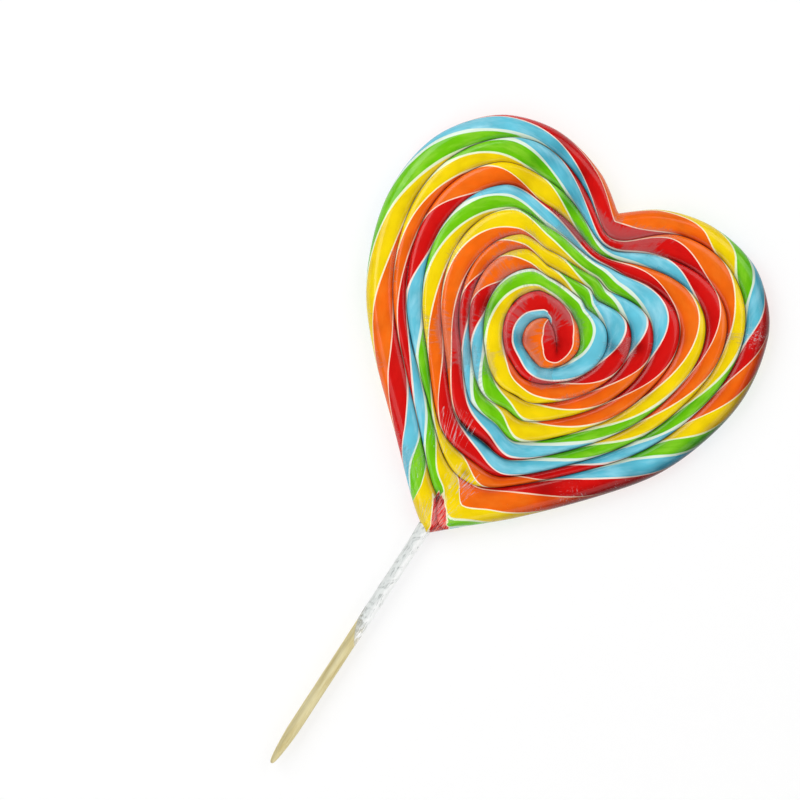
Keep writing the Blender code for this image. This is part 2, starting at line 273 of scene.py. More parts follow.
@dataclass(frozen=True)
class Swirl:
    """The seam between the rope's turns, and how far the rope is twisted along it.

    The seam is given by its distance from the eye, one row for each lap, where it crosses the
    bearings. The twist is given in turns of the rope, read to a twentieth, and the girth in the number
    of colours that show across it, as pairs of a bearing and a size, one row for each lap. By the tip
    the rope is rolled out towards the rim: where, how far along, and how many times as much more shows.
    Its end is rolled in, so that nothing more shows there: from where, how fast, and by what share.
    Bearings are degrees counter-clockwise from +X.
    """

    outline: Outline = field(default_factory=Outline)
    eye: tuple[float, float] = (3.5, 85.7)
    bearings: tuple[float, ...] = (1, 38, 69, 85, 123, 138, 214, 247, 267, 282)
    start: float = 130.7
    start_reach: float = 6.5
    first_lap: tuple[float, ...] = (7.5, 11.0, 10.5, 11.0, 11.5)
    whole_laps: tuple[tuple[float, ...], ...] = (
        (10.5, 10.0, 10.5, 11.5, 15.5, 18.0, 18.0, 17.5, 18.0, 17.5),
        (19.0, 20.0, 16.5, 17.5, 22.0, 26.5, 25.0, 26.0, 25.0, 25.0),
        (26.5, 28.5, 21.5, 22.5, 26.0, 34.0, 30.0, 32.5, 31.0, 32.0),
        (33.5, 36.5, 27.0, 27.0, 32.0, 39.5, 33.5, 37.5, 37.5, 40.0),
        (40.0, 46.5, 35.5, 32.5, 40.5, 49.5, 39.5, 44.5, 45.5, 47.0),
        (47.0, 56.0, 42.0, 35.5, 48.5, 58.5, 46.0, 51.5, 53.5, 53.5),
        (53.0, 64.0, 48.5, 39.0, 58.0, 67.0, 51.0, 53.5, 61.0, 57.5),
    )
    last_lap: tuple[float, ...] = (58.5, 71.0, 60.0, 43.5, 70.0, 75.5, 55.5, 59.5)
    last_turn: float = 8 * 360.0
    corner_bearing: float = 263.7
    corner_reach: float = 70.5
    edge_bearing: float = 272.5
    mean_reach: float = 68.0
    blur: float = 20.0
    sharp_lap: float = 9.0
    least_blur: float = 0.8
    blur_reach: int = 60
    blur_step: float = 2.0
    tail_end: tuple[float, float] = (3.9, -3.6)
    tail_bow: float = 0.9
    tail_bow_towards: tuple[float, float] = (0.42, 0.91)

    twist: Laps = (
        ((131, -0.21), (150, -0.21), (170, -0.23), (200, -0.25), (241, -0.25), (297, -0.30)),
        ((1, -0.40), (68, -0.50), (150, -0.60), (241, -0.80), (297, -0.90)),
        ((1, -1.15), (68, -1.45), (150, -1.90), (241, -2.50), (297, -2.80)),
        ((1, -3.05), (45, -3.35), (68, -3.50), (110, -3.70), (150, -3.90), (241, -4.45), (297, -4.80)),
        ((1, -5.05), (68, -5.45), (110, -5.60), (150, -5.85), (241, -6.15), (297, -6.40)),
        ((1, -6.75), (45, -6.95), (68, -7.10), (110, -7.25), (150, -7.55), (241, -8.10), (297, -8.40)),
        ((1, -8.85), (40, -9.10), (68, -9.35), (105, -9.55), (145, -9.95), (241, -10.65),
         (264, -10.80), (281, -10.95), (310, -11.20)),
        ((1, -11.55), (40, -11.85), (68, -12.10), (105, -12.25), (145, -12.70), (241, -13.40),
         (258, -13.65), (266, -13.70), (273, -13.85), (281, -13.90), (310, -14.15), (340, -14.40)),
        ((1, -14.75), (20, -15.00), (40, -15.35), (68, -15.90), (105, -16.15), (145, -16.49),
         (241, -17.25), (255, -17.55), (262, -17.70), (272.5, -17.75)),
    )
    roll_out: tuple[float, float, float] = (7 * 360 + 273.0, 7.0, 1.2)
    roll_in: tuple[float, float, float] = (8 * 360 + 257.0, 3.8, 0.95)
    girth: Laps = (
        ((68, 1.5), (150, 1.5), (200, 1.65), (241, 1.4), (297, 1.4)),
        ((1, 1.4), (68, 1.4), (150, 2.1), (241, 1.2), (297, 1.4)),
        ((1, 1.3), (68, 1.3), (150, 0.9), (241, 1.5), (297, 1.3)),
        ((1, 1.3), (68, 1.3), (150, 0.6), (241, 1.3), (297, 1.3)),
        ((1, 1.1), (68, 2.3), (150, 1.7), (241, 1.6), (297, 1.7)),
        ((1, 1.9), (68, 1.5), (150, 2.3), (241, 1.3), (297, 1.3)),
        ((1, 1.5), (68, 1.2), (150, 1.0), (241, 0.9), (297, 0.7)),
        ((1, 1.4), (68, 1.6), (150, 1.9), (241, 1.7), (264, 1.6), (273, 2.4), (297, 2.4)),
        ((1, 1.9), (68, 1.5), (150, 2.0), (241, 1.6), (257, 1.1), (262, 0.7), (272, 0.7)),
    )

    @property
    def edge_from(self) -> float:
        """Where the seam has become the edge of the heart, in degrees turned."""
        return self.last_turn + self.edge_bearing

    def edge(self, turned: Array) -> Array:
        """Distance from the eye to the edge of the heart, read from the outline by bearing.

        Args:
            turned: Degrees turned.

        Returns:
            The distance at each.
        """
        loop = self.outline.loop() - self.eye
        bearing = np.degrees(np.arctan2(loop[:, 1], loop[:, 0])) % 360
        order = np.argsort(bearing)
        return np.interp(turned, bearing[order], np.hypot(*loop.T)[order], period=360)

    def usual_reach(self, turned: Array) -> Array:
        """The distance that the seam's own values vary about: round at the eye, heart-shaped further out.

        It is the outline, blurred by a bell curve that narrows with the root of the laps left, to the
        power h, times the mean reach to the power 1 less h, where h is 1 less a half for each lap.

        Args:
            turned: Degrees turned.

        Returns:
            The distance at each.
        """
        laps = turned / 360
        blur = np.maximum(
            self.blur * np.sqrt(np.clip(1 - laps / self.sharp_lap, 0, 1)), self.least_blur
        )
        offsets = np.arange(-self.blur_reach, self.blur_reach + 1, self.blur_step)
        bell = np.exp(-0.5 * (offsets / blur[:, None]) ** 2)
        soft = (self.edge(turned[:, None] + offsets) * bell).sum(axis=1) / bell.sum(axis=1)
        heart = 1 - 0.5**laps
        return soft**heart * self.mean_reach ** (1 - heart)

    def seam(self, turned: Array) -> Array:
        """Distance from the eye to the seam: a smooth curve through the sizes, as shares of the usual
        reach, that eases out to the edge of the heart where the rope ends.

        Args:
            turned: Degrees turned.

        Returns:
            The distance at each.
        """
        knots, reach = [self.start], [self.start_reach]
        for lap, row in enumerate((self.first_lap, *self.whole_laps, self.last_lap)):
            crossed = self.bearings[-len(row) :] if lap == 0 else self.bearings[: len(row)]
            knots += [360.0 * lap + bearing for bearing in crossed]
            reach += row
        corner = self.last_turn + self.corner_bearing
        knots_at = np.array([*knots, corner])
        shares = np.array([*reach, self.corner_reach]) / self.usual_reach(knots_at)
        wound = curve_weights(turned, knots_at) @ shares * self.usual_reach(turned)
        out = smooth_step((turned - corner) / (self.edge_from - corner))
        return wound * (1 - out) + self.edge(turned) * out

    @staticmethod
    def pairs(laps: Laps) -> Array:
        """Pairs of a bearing and a size, lap by lap, as degrees turned and sizes in two rows."""
        numbered = enumerate(laps)
        return np.array([(360.0 * lap + at, size) for lap, row in numbered for at, size in row]).T

    def turns(self, turned: Array) -> Array:
        """How often the rope has been twisted by there, from a smooth curve through the sizes."""
        knots, values = self.pairs(self.twist)
        return curve_weights(turned, knots) @ values

    def colours_shown(self, turned: Array) -> Array:
        """How many of the five colours show across the rope, which is squashed between its turns."""
        return np.interp(turned, *self.pairs(self.girth))


@dataclass(frozen=True)
class EyePattern:
    """Stripes of the rope's folded-over end, at the eye, where it isn't yet a twisted rope.

    Each row holds a bearing, the colour number at the seam's tail, the colour number at the first
    turn's seam, and the power by which one passes into the other.
    """

    rows: tuple[tuple[float, float, float, float], ...] = (
        (130.7, 0.45, 1.40, 1.0),
        (145.0, 0.60, 1.50, 0.9),
        (210.7, 0.52, 1.90, 1.0),
        (255.7, 0.30, 1.95, 1.3),
        (300.7, 0.40, 2.02, 3.0),
        (345.7, 0.40, 1.60, 2.1),
        (390.7, 0.40, 1.35, 1.46),
        (430.7, 0.35, 1.10, 1.36),
        (460.7, 0.10, 1.00, 1.0),
        (490.7, -0.76, 0.95, 0.52),
    )

    def core(self, outer_turned: Array, across: Array) -> Array:
        """Colour numbers inside the first turn: a power curve from the tail's to the seam's.

        Args:
            outer_turned: Degrees turned at the seam, one for each row.
            across: Places across, from the tail to the seam.

        Returns:
            The colour numbers, by row and station.
        """
        table = np.array(self.rows)
        inner, outer, power = (np.interp(outer_turned, table[:, 0], column) for column in table.T[1:])
        return inner[:, None] + (outer - inner)[:, None] * across ** power[:, None]


@dataclass
class SwirlGrid:
    """Rows that wind outwards with the rope and stations that cross it, on both faces.

    Each row crosses the rope from its inner seam to its outer one, and the outer points of one lap
    are the inner points of the next. The first rows turn about the seam's inner tail. On the last lap
    the outer points are the rim, which both faces share. A lap has as many rows as there are steps,
    and the stations of a face divide a row into its parts.
    """

    swirl: Swirl
    steps: int
    parts: dict[Face, int]

    def __post_init__(self) -> None:
        """Work out the rows, the points that they run between, and the numbers of all points.

        The tail is a straight line plus a bow, which is four times the share of the way along it times
        1 less that share. How far along the rope a row lies is the sum of the hops between the middles
        of the rows up to it.
        """
        self.before_edge = int((self.swirl.edge_from - self.swirl.start) * self.steps / 360)
        self.last = self.before_edge + self.steps
        self.row = np.arange(self.last + 1)
        self.turned = self.swirl.edge_from + (self.row - self.before_edge) * 360 / self.steps
        angle = np.radians(self.turned)
        reach = self.swirl.seam(self.turned)
        self.outer = np.stack((reach * np.cos(angle), reach * np.sin(angle)), axis=1) + self.swirl.eye
        self.tail_parts = self.steps // 2
        share = np.linspace(0, 1, self.tail_parts + 1)[:, None]
        tail_end = np.add(self.swirl.eye, self.swirl.tail_end)
        bow = 4 * self.swirl.tail_bow * share * (1 - share) * np.array(self.swirl.tail_bow_towards)
        self.tail = self.outer[0] * (1 - share) + tail_end * share + bow
        self.in_core = self.row < self.steps
        self.piece = np.clip(
            self.tail_parts - np.abs(self.row - self.tail_parts), 0, self.tail_parts
        )
        behind = self.outer[np.maximum(self.row - self.steps, 0)]
        self.inner = np.where(self.in_core[:, None], self.tail[self.piece], behind)
        self.width = np.linalg.norm(self.outer - self.inner, axis=1)
        self.on_rim = self.row >= self.before_edge
        middle = (self.inner + self.outer) / 2
        hops = np.linalg.norm(np.diff(middle, axis=0), axis=1)
        self.along = np.concatenate(([0.0], np.cumsum(hops)))
        self.number_points()

    def stations(self, face: Face) -> Array:
        """Places across a turn from 0 to 1, closer at the seams: half of 1 less a cosine."""
        return (1 - np.cos(np.linspace(0, math.pi, self.parts[face] + 1))) / 2

    def flat(self, face: Face) -> Array:
        """Places seen from above, by row and station: the chord from the inner seam to the outer."""
        across = self.stations(face)[None, :, None]
        return self.inner[:, None] + (self.outer - self.inner)[:, None] * across

    def rope_place(self, face: Face) -> Array:
        """Millimetres along the rope and the place across it, by row and station."""
        return np.stack(np.broadcast_arrays(self.along[:, None], self.stations(face)[None]), axis=-1)

    def number_points(self) -> None:
        """Number the points: seams, tails, then the inner stations, face by face.

        The ends of the coil have no width, so every station there is the seam's own point.
        """
        self.numbers: dict[Face, Array] = {}
        seam_front = np.append(np.arange(self.last), self.before_edge)
        count = self.last
        seam_back = seam_front.copy()
        seam_back[: self.before_edge] = count + np.arange(self.before_edge)
        count += self.before_edge
        for face, seam in ((Face.SHOWN, seam_front), (Face.BACK, seam_back)):
            tail = np.append(seam[0], count + np.arange(self.tail_parts))
            count += self.tail_parts
            inner = np.where(
                self.in_core, tail[self.piece], seam[np.maximum(self.row - self.steps, 0)]
            )
            inside = self.parts[face] - 1
            between = count + np.arange((self.last + 1) * inside).reshape(-1, inside)
            count += (self.last + 1) * inside
            numbers = np.column_stack((inner, between, seam))
            numbers[0], numbers[-1] = seam[0], seam[-1]
            self.numbers[face] = numbers
        self.count = count

    def gather(self, face_values: dict[Face, Array]) -> Array:
        """Put values given by row and station into one array by point number.

        Args:
            face_values: The values of each face.

        Returns:
            One row for each point.
        """
        shape = (self.count, *face_values[Face.SHOWN].shape[2:])
        gathered = np.zeros(shape)
        for face in (Face.BACK, Face.SHOWN):
            gathered[self.numbers[face]] = face_values[face]
        return gathered

    def corners(self, face: Face) -> Array:
        """Triangles of one face as places in its rows and stations laid end to end.

        Args:
            face: The face.

        Returns:
            Three places a row, leaving out triangles with no area.
        """
        wide = self.parts[face] + 1
        at = (np.arange(self.last)[:, None] * wide + np.arange(wide - 1)).ravel()
        one = np.stack((at, at + 1, at + wide + 1), 1)
        two = np.stack((at, at + wide + 1, at + wide), 1)
        both = np.stack((one, two), axis=1).reshape(-1, 3)
        both = both if face is Face.SHOWN else both[:, ::-1]
        named = self.numbers[face].ravel()[both]
        real = (named != np.roll(named, 1, axis=1)).all(axis=1)
        return both[real]

    def triangles(self) -> Array:
        """All triangles as point numbers, the shown face's first."""
        return np.concatenate([self.numbers[face].ravel()[self.corners(face)] for face in Face])

    def corner_values(self, face_values: dict[Face, Array]) -> Array:
        """Values given by row and station, as one row for each corner of each triangle.

        Args:
            face_values: The values of each face.

        Returns:
            The rows, the shown face's first.
        """
        flat = [
            face_values[face].reshape(-1, face_values[face].shape[-1])[self.corners(face)]
            for face in Face
        ]
        return np.concatenate(flat).reshape(-1, flat[0].shape[-1])


@dataclass
class Section:
    """Section of the sweet across one turn of the rope, as drops below the crest."""

    thickness: float
    front_groove: float = 1.15
    back_groove: float = 0.7
    groove_swing: Wander = Wander(0.22, 200.0, seed=4)
    crest_power: float = 3.2
    crease: float = 0.5
    crease_share: float = 0.45
    back_flat: float = 0.4
    rim_round: float = 4.2
    gap_depth: float = 2.2
    gap_turned: float = 5 * 360 + 262.5
    gap_half_length: float = 10.0
    tail_depth: float = 0.6

    def gap(self, turned: Array) -> Array:
        """Where two turns never closed up, from 0 to 1: a bell curve along the seam."""
        return np.exp(-(((turned - self.gap_turned) / self.gap_half_length) ** 2))

    def seam_drop(self, grid: SwirlGrid, face: Face) -> Array:
        """Depth of the seam at each row's outer end, uneven along the rope and deep at the gap.

        Args:
            grid: The rows.
            face: The face. On the back the depth is even.

        Returns:
            The depths.
        """
        if face is Face.BACK:
            return np.full(len(grid.row), self.back_groove)
        uneven = 1 + self.groove_swing.at(grid.turned)
        return self.front_groove * uneven + self.gap_depth * self.gap(grid.turned)

    def rim_drop(self, across: Array, width: Array) -> Array:
        """The rounded rim: a quarter ellipse from the crest down to mid-thickness."""
        inward = np.minimum(1, (1 - across) * width / self.rim_round)
        return self.thickness / 2 * (1 - np.sqrt(np.maximum(0, 1 - (1 - inward) ** 2)))

    def drops(self, grid: SwirlGrid, face: Face) -> Array:
        """Drop below the crest's plane.

        Towards a seam it is the seam's depth times a mix of a power of the distance from the crest,
        which gives the round crown, and a bell curve of the distance from the seam, the crease.

        Args:
            grid: The rows and stations.
            face: The face.

        Returns:
            The drops, by row and station.
        """
        across = np.broadcast_to(grid.stations(face), (len(grid.row), grid.parts[face] + 1))
        width = grid.width[:, None]
        seam = self.seam_drop(grid, face)
        tail = self.tail_depth * seam[0] * (1 - grid.piece / grid.tail_parts)
        inner = np.where(grid.in_core, tail, seam[np.maximum(grid.row - grid.steps, 0)])
        off = np.abs(2 * across - 1)
        if face is Face.BACK:
            off = np.maximum(0, (off - self.back_flat) / (1 - self.back_flat))
        near = np.minimum(across, 1 - across) * width
        crease = self.crease_share * np.exp(-((near / self.crease) ** 2))
        share = (1 - self.crease_share) * off**self.crest_power + crease * off
        fall = np.where(across < 0.5, inner[:, None], seam[:, None]) * share
        rim = self.rim_drop(across, width)
        with_rim = np.where(across < 0.5, np.maximum(fall, rim), rim)
        drops = np.where(grid.on_rim[:, None], with_rim, fall)
        drops[:, 0] = inner
        drops[:, -1] = np.where(grid.on_rim, self.thickness / 2, seam)
        return drops


@dataclass
class Place:
    """Where the heart's own frame lies in the row's: its shift, read from the solid's box."""

    outline: Outline

    def __post_init__(self) -> None:
        """Read the shift and the thickness from the solid of the sweet.

        From side to side, the middle of the outline lies at the middle of the solid's box. The top of
        the lobes lies at the box's top edge, and the back at its floor.
        """
        low, high = (np.array(corner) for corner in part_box("candy_heart"))
        loop = self.outline.loop() * MM
        self.shift = np.array((
            (low[0] + high[0]) / 2 - (loop[:, 0].min() + loop[:, 0].max()) / 2,
            high[1] - loop[:, 1].max(),
            low[2],
        ))
        self.thickness = float(high[2] - low[2]) / MM

    def to_world(self, points: Array) -> Array:
        """Points in millimetres from the heart's tip, as metres in the row's frame."""
        return points * MM + self.shift


def add_node(tree: bpy.types.NodeTree, kind: str, inputs: Inputs | None = None, stops: Stops = (),
             between: str = "CONSTANT", **settings: Any) -> bpy.types.Node:
    """Add a shader node with its settings and links.

    Args:
        tree: The node tree.
        kind: The node's type name, less the ShaderNode that it starts with.
        inputs: For each input, by name or number, a value to set, a socket to link, or a node whose
            first output in use is linked.
        stops: Places and colours of the node's ramp, where it has one.
        between: How that ramp passes from stop to stop.
        settings: Attributes to set on the node.

    Returns:
        The new node.
    """
    node = tree.nodes.new("ShaderNode" + kind)
    for name, value in settings.items():
        setattr(node, name, value)
    for name, value in (inputs or {}).items():
        if isinstance(value, bpy.types.Node):
            value = next(socket for socket in value.outputs if socket.enabled)
        if isinstance(value, bpy.types.NodeSocket):
            tree.links.new(value, node.inputs[name])
        else:
            node.inputs[name].default_value = value
    if stops:
        node.color_ramp.interpolation = between
    for number, (place, colour) in enumerate(stops):
        elements = node.color_ramp.elements
        stop = elements[number] if number < len(elements) else elements.new(place)
        stop.position = place
        stop.color = colour
    return node


def new_material(name: str) -> tuple[bpy.types.Material, Add]:
    """An empty node material.

    Args:
        name: The material's name.

    Returns:
        The material, and add_node bound to its tree.
    """
    made = bpy.data.materials.new(name)
    made.use_nodes = True
    made.node_tree.nodes.clear()
    return made, partial(add_node, made.node_tree)


def even_stops(colours: Iterable[tuple[float, ...]]) -> Stops:
    """Stops of a ramp that gives each of the rope's colours its equal share."""
    return [(at / len(Stripe), colour) for at, colour in enumerate(colours)]


@dataclass(frozen=True)
class BoiledSugar:
    """Boiled sugar, pulled and twisted: dense, saturated colour under a glassy skin.

    Five colours lie side by side round the rope, with a thin line of white pulled sugar between each
    two. Pulled sugar keeps air in fine threads, which leave pearly streaks along the stripes; the
    streaks also carry painted sheen, lighter patches that stand for light reflected off the sugar. The
    seams between the turns are darkened with painted shade, because light hardly reaches into them.
    Sizes are millimetres.
    """

    cloud_size: float = 9.0
    cloud_values: tuple[float, float] = (0.88, 1.08)
    thread_length: float = 14.0
    threads_a_colour: float = 1.7
    pearl_and_sheen_from: tuple[float, float] = (0.46, 0.7)
    pearl_and_sheen_share: float = 0.7
    pearl_and_sheen_colours: tuple[str, ...] = ("DA1812", "F67A1E", "F8DE08", "9CDC3C", "A2E0F0")
    line_half_widths: tuple[float, ...] = (0.27, 0.19, 0.22, 0.36, 0.55)
    line_colours: tuple[str, ...] = ("FBE8DC", "FFDCC4", "FFF3CC", "EDF6CF", "E4F3E2")
    line_swing_size: float = 12.0
    line_swing: float = 0.3
    line_fade: tuple[float, float] = (0.75, 1.3)
    splinter_width: float = 0.5
    splinter_length: float = 5.0
    splinter_colours: tuple[str, str, str] = ("A20C0E", "E81A16", "F28A78")
    splinter_stops: tuple[float, float, float] = (0.36, 0.48, 0.64)
    torn_edge: tuple[float, float, float] = (0.04, 0.2, 0.3)
    foot_colour: str = "F98A4C"
    foot_down: float = 0.65
    foot_ragged: float = 0.3
    foot_from: tuple[float, float] = (0.86, 0.94)
    torn_openness: float = 4.0
    seam_dark_size: float = 14.0
    seam_dark_from: tuple[float, float] = (0.36, 0.64)
    seam_dark: tuple[float, float] = (0.1, 0.5)
    seam_fade: tuple[float, float] = (0.2, 1.5)
    ripple_size: float = 4.0
    ripple_depth: float = 0.4
    ripple_strength: float = 0.25
    roughness: float = 0.24
    ior: float = 1.5
    specular: float = 0.2
    coat: float = 0.4
    coat_fade: tuple[float, float] = (1.0, 4.0)
    coat_roughness: float = 0.06

    def stripes(self, add: Add, number: Socket, along: Socket, object_at: Socket) -> bpy.types.Node:
        """The five colours, clouded a little lighter and darker, and streaked with pearly threads.

        Args:
            add: Adds a node to the tree.
            number: Colour number.
            along: Millimetres along the rope.
            object_at: Object coordinates.

        Returns:
            The node that gives the colour.
        """
        fifth = add("Math", {0: number, 1: 1 / len(Stripe)}, operation="MULTIPLY")
        wrapped = add("Math", {0: fifth}, operation="FRACT")
        flat = add("ValToRGB", {0: wrapped}, even_stops(linear(stripe.value) for stripe in Stripe))
        cloudy = add("TexNoise", {
            "Vector": object_at, "Scale": 1 / (self.cloud_size * MM), "Detail": 2.0})
        value = add("MapRange", {
            "Value": cloudy, "From Min": NOISE_LOW, "From Max": NOISE_HIGH,
            "To Min": self.cloud_values[0], "To Max": self.cloud_values[1]})
        clouded = add("HueSaturation", {"Color": flat, "Value": value})
        lengthwise = add("Math", {0: along, 1: 1 / self.thread_length}, operation="MULTIPLY")
        crosswise = add("Math", {0: number, 1: self.threads_a_colour}, operation="MULTIPLY")
        thread_at = add("CombineXYZ", {0: lengthwise, 1: crosswise})
        threads = add("TexNoise", {
            "Vector": thread_at, "Scale": 1.0, "Detail": 3.0, "Roughness": 0.6})
        # Pearly threads: partly the air kept in pulled sugar, partly painted sheen.
        pale = add("ValToRGB", {0: wrapped}, even_stops(map(linear, self.pearl_and_sheen_colours)))
        pearly = add("MapRange", {
            "Value": threads, "From Min": self.pearl_and_sheen_from[0], "From Max": self.pearl_and_sheen_from[1],
            "To Max": self.pearl_and_sheen_share})
        return add("Mix", {"Factor": pearly, FIRST: clouded, SECOND: pale}, data_type="RGBA")

    def lined(self, add: Add, number: Socket, scale: Socket, object_at: Socket,
              stripes: bpy.types.Node) -> bpy.types.Node:
        """The stripes with a thin pale line along each join, of a width that swings a little.

        A place is in the line where its distance from the nearest whole colour number, in millimetres,
        is under the half width that belongs to that join.

        Args:
            add: Adds a node to the tree.
            number: Colour number.
            scale: Millimetres across the rope for each colour.
            object_at: Object coordinates.
            stripes: Colour of the stripes.

        Returns:
            The node that gives the colour.
        """
        nearest = add("Math", {0: number}, operation="ROUND")
        off = add("Math", {0: number, 1: nearest}, operation="SUBTRACT")
        away = add("Math", {0: add("Math", {0: off}, operation="ABSOLUTE"), 1: scale},
                   operation="MULTIPLY")
        join = add("Math", {0: nearest, 1: 0.5}, operation="ADD")
        fifth = add("Math", {0: join, 1: 1 / len(Stripe)}, operation="MULTIPLY")
        wrapped = add("Math", {0: fifth}, operation="FRACT")
        half = add("ValToRGB", {0: wrapped}, even_stops((w, w, w, 1) for w in self.line_half_widths))
        uneven = add("TexNoise", {
            "Vector": object_at, "Scale": 1 / (self.line_swing_size * MM), "Detail": 1.0})
        swing = add("MapRange", {
            "Value": uneven, "From Min": NOISE_LOW, "From Max": NOISE_HIGH,
            "To Min": 1 - self.line_swing, "To Max": 1 + self.line_swing})
        half = add("Math", {0: half, 1: swing}, operation="MULTIPLY")
        share = add("Math", {0: away, 1: half}, operation="DIVIDE")
        in_line = add("MapRange", {
            "Value": share, "From Min": self.line_fade[0], "From Max": self.line_fade[1],
            "To Min": 1.0, "To Max": 0.0,
        }, interpolation_type="SMOOTHSTEP")
        colour = add("ValToRGB", {0: wrapped}, even_stops(map(linear, self.line_colours)))
        return add("Mix", {"Factor": in_line, FIRST: stripes, SECOND: colour}, data_type="RGBA")

    def ripped(self, add: Add, torn: Socket, object_at: Socket,
               lined: bpy.types.Node) -> bpy.types.Node:
        """The lined stripes with the torn wedge: long red splinters, an orange foot and a pale edge.

        Args:
            add: Adds a node to the tree.
            torn: Millimetres within the wedge's sides.
            object_at: Object coordinates.
            lined: Colour of the lined stripes.

        Returns:
            The node that gives the colour.
        """
        inside = add("MapRange", {"Value": torn, "From Max": self.torn_edge[1]},
                     interpolation_type="SMOOTHSTEP")
        rise, level, fall = self.torn_edge
        at_edge = add("ValToRGB", {0: torn}, [(0.0, NONE), (rise, FULL), (level, FULL), (fall, NONE)],
                      "LINEAR")
        lengthwise = add("Mapping", {
            0: object_at, "Scale": (1 / (self.splinter_width * MM), 1 / (self.splinter_length * MM), 1)})
        splinters = add("TexNoise", {"Vector": lengthwise, "Scale": 1.0, "Detail": 2.0})
        reds = list(zip(self.splinter_stops, map(linear, self.splinter_colours)))
        red = add("ValToRGB", {0: splinters}, reds, "LINEAR")
        down = add("Attribute", attribute_name="torn_foot").outputs["Fac"]
        down = add("Math", {0: down, 1: self.foot_down}, operation="MULTIPLY")
        down = add("Math", {0: splinters, 1: self.foot_ragged, 2: down}, operation="MULTIPLY_ADD")
        begin, full = self.foot_from
        at_foot = add("ValToRGB", {0: down}, [(0.0, NONE), (begin, NONE), (full, FULL)], "LINEAR")
        wedge = add("Mix", {"Factor": at_foot, FIRST: red, SECOND: linear(self.foot_colour)},
                    data_type="RGBA")
        filled = add("Mix", {"Factor": inside, FIRST: lined, SECOND: wedge}, data_type="RGBA")
        return add("Mix", {"Factor": at_edge, FIRST: filled, SECOND: linear(self.line_colours[2])},
                   data_type="RGBA")

    def shaded(self, add: Add, near: bpy.types.Node, object_at: Socket,
               colour: bpy.types.Node) -> bpy.types.Node:
        """The colour as the seams and the tucked places leave it: darker, and deeper by a gamma.

        This is painted shade. The light is what the seam leaves, times what the tucks leave. The colour
        is raised to the power of 2 less the light, and then multiplied by the light.

        Args:
            add: Adds a node to the tree.
            near: Distance from the nearest seam, as a share of the seam's dark half width.
            object_at: Object coordinates.
            colour: The colour in full light.

        Returns:
            The node that gives the colour.
        """
        # Painted shade carried by the sweet's points: tucks, the rim away from the light, spots and a
        # squeezed stretch.
        tuck = add("Attribute", attribute_name="tuck").outputs["Fac"]
        uneven = add("TexNoise", {
            "Vector": object_at, "Scale": 1 / (self.seam_dark_size * MM), "Detail": 2.0})
        # Painted shade along the seams: darkest at their middle, and uneven along them.
        darkest = add("MapRange", {
            "Value": uneven, "From Min": self.seam_dark_from[0],
            "From Max": self.seam_dark_from[1], "To Min": self.seam_dark[0],
            "To Max": self.seam_dark[1]})
        out_of_seam = add("MapRange", {
            "Value": near, "From Min": self.seam_fade[0], "From Max": self.seam_fade[1],
            "To Min": darkest,
        }, interpolation_type="SMOOTHSTEP")
        kept = add("Math", {0: 1.0, 1: tuck}, operation="SUBTRACT")
        light = add("Math", {0: out_of_seam, 1: kept}, operation="MULTIPLY")
        power = add("Math", {0: light, 1: -1.0, 2: 2.0}, operation="MULTIPLY_ADD")
        deeper = add("Gamma", {"Color": colour, "Gamma": power})
        return add("Mix", {"Factor": 1.0, FIRST: deeper, SECOND: light}, data_type="RGBA",
                   blend_type="MULTIPLY")

    def material(self) -> bpy.types.Material:
        """The node material. It reads the rope's own maps and values.

        Returns:
            The material.
        """
        made, add = new_material("boiled_sugar")
        rope = add("SeparateXYZ", {0: add("UVMap", uv_map="rope_colours")}).outputs
        number, scale = rope[0], rope[1]
        along = add("SeparateXYZ", {0: add("UVMap", uv_map="rope_place")}).outputs[0]
        object_at = add("TexCoord").outputs["Object"]
        torn = add("Attribute", attribute_name="torn").outputs["Fac"]
        stripes = self.stripes(add, number, along, object_at)
        lined = self.lined(add, number, scale, object_at, stripes)
        ripped = self.ripped(add, torn, object_at, lined)
        # The torn wedge lies open, so a place deep in it counts as far from any seam.
        near = add("Attribute", attribute_name="seam_share").outputs["Fac"]
        opened = add("Math", {0: torn, 1: self.torn_openness}, operation="MULTIPLY")
        near = add("Math", {0: near, 1: opened}, operation="MAXIMUM")
        colour = self.shaded(add, near, object_at, ripped)
        gloss = add("MapRange", {
            "Value": near, "From Min": self.coat_fade[0], "From Max": self.coat_fade[1],
            "To Max": self.coat,
        }, interpolation_type="SMOOTHSTEP")
        rim = add("Attribute", attribute_name="rim").outputs["Fac"]
        off_rim = add("Math", {0: 1.0, 1: rim}, operation="SUBTRACT")
        gloss = add("Math", {0: gloss, 1: off_rim}, operation="MULTIPLY")
        ripple = add("TexNoise", {
            "Vector": object_at, "Scale": 1 / (self.ripple_size * MM), "Detail": 2.0})
        bump = add("Bump", {
            "Strength": self.ripple_strength, "Distance": self.ripple_depth * MM,
            "Height": ripple})
        surface = add("BsdfPrincipled", {
            "Base Color": colour, "Roughness": self.roughness, "IOR": self.ior,
            "Specular IOR Level": self.specular, "Coat Weight": gloss,
            "Coat Roughness": self.coat_roughness, "Normal": bump})
        add("OutputMaterial", {"Surface": surface})
        return made


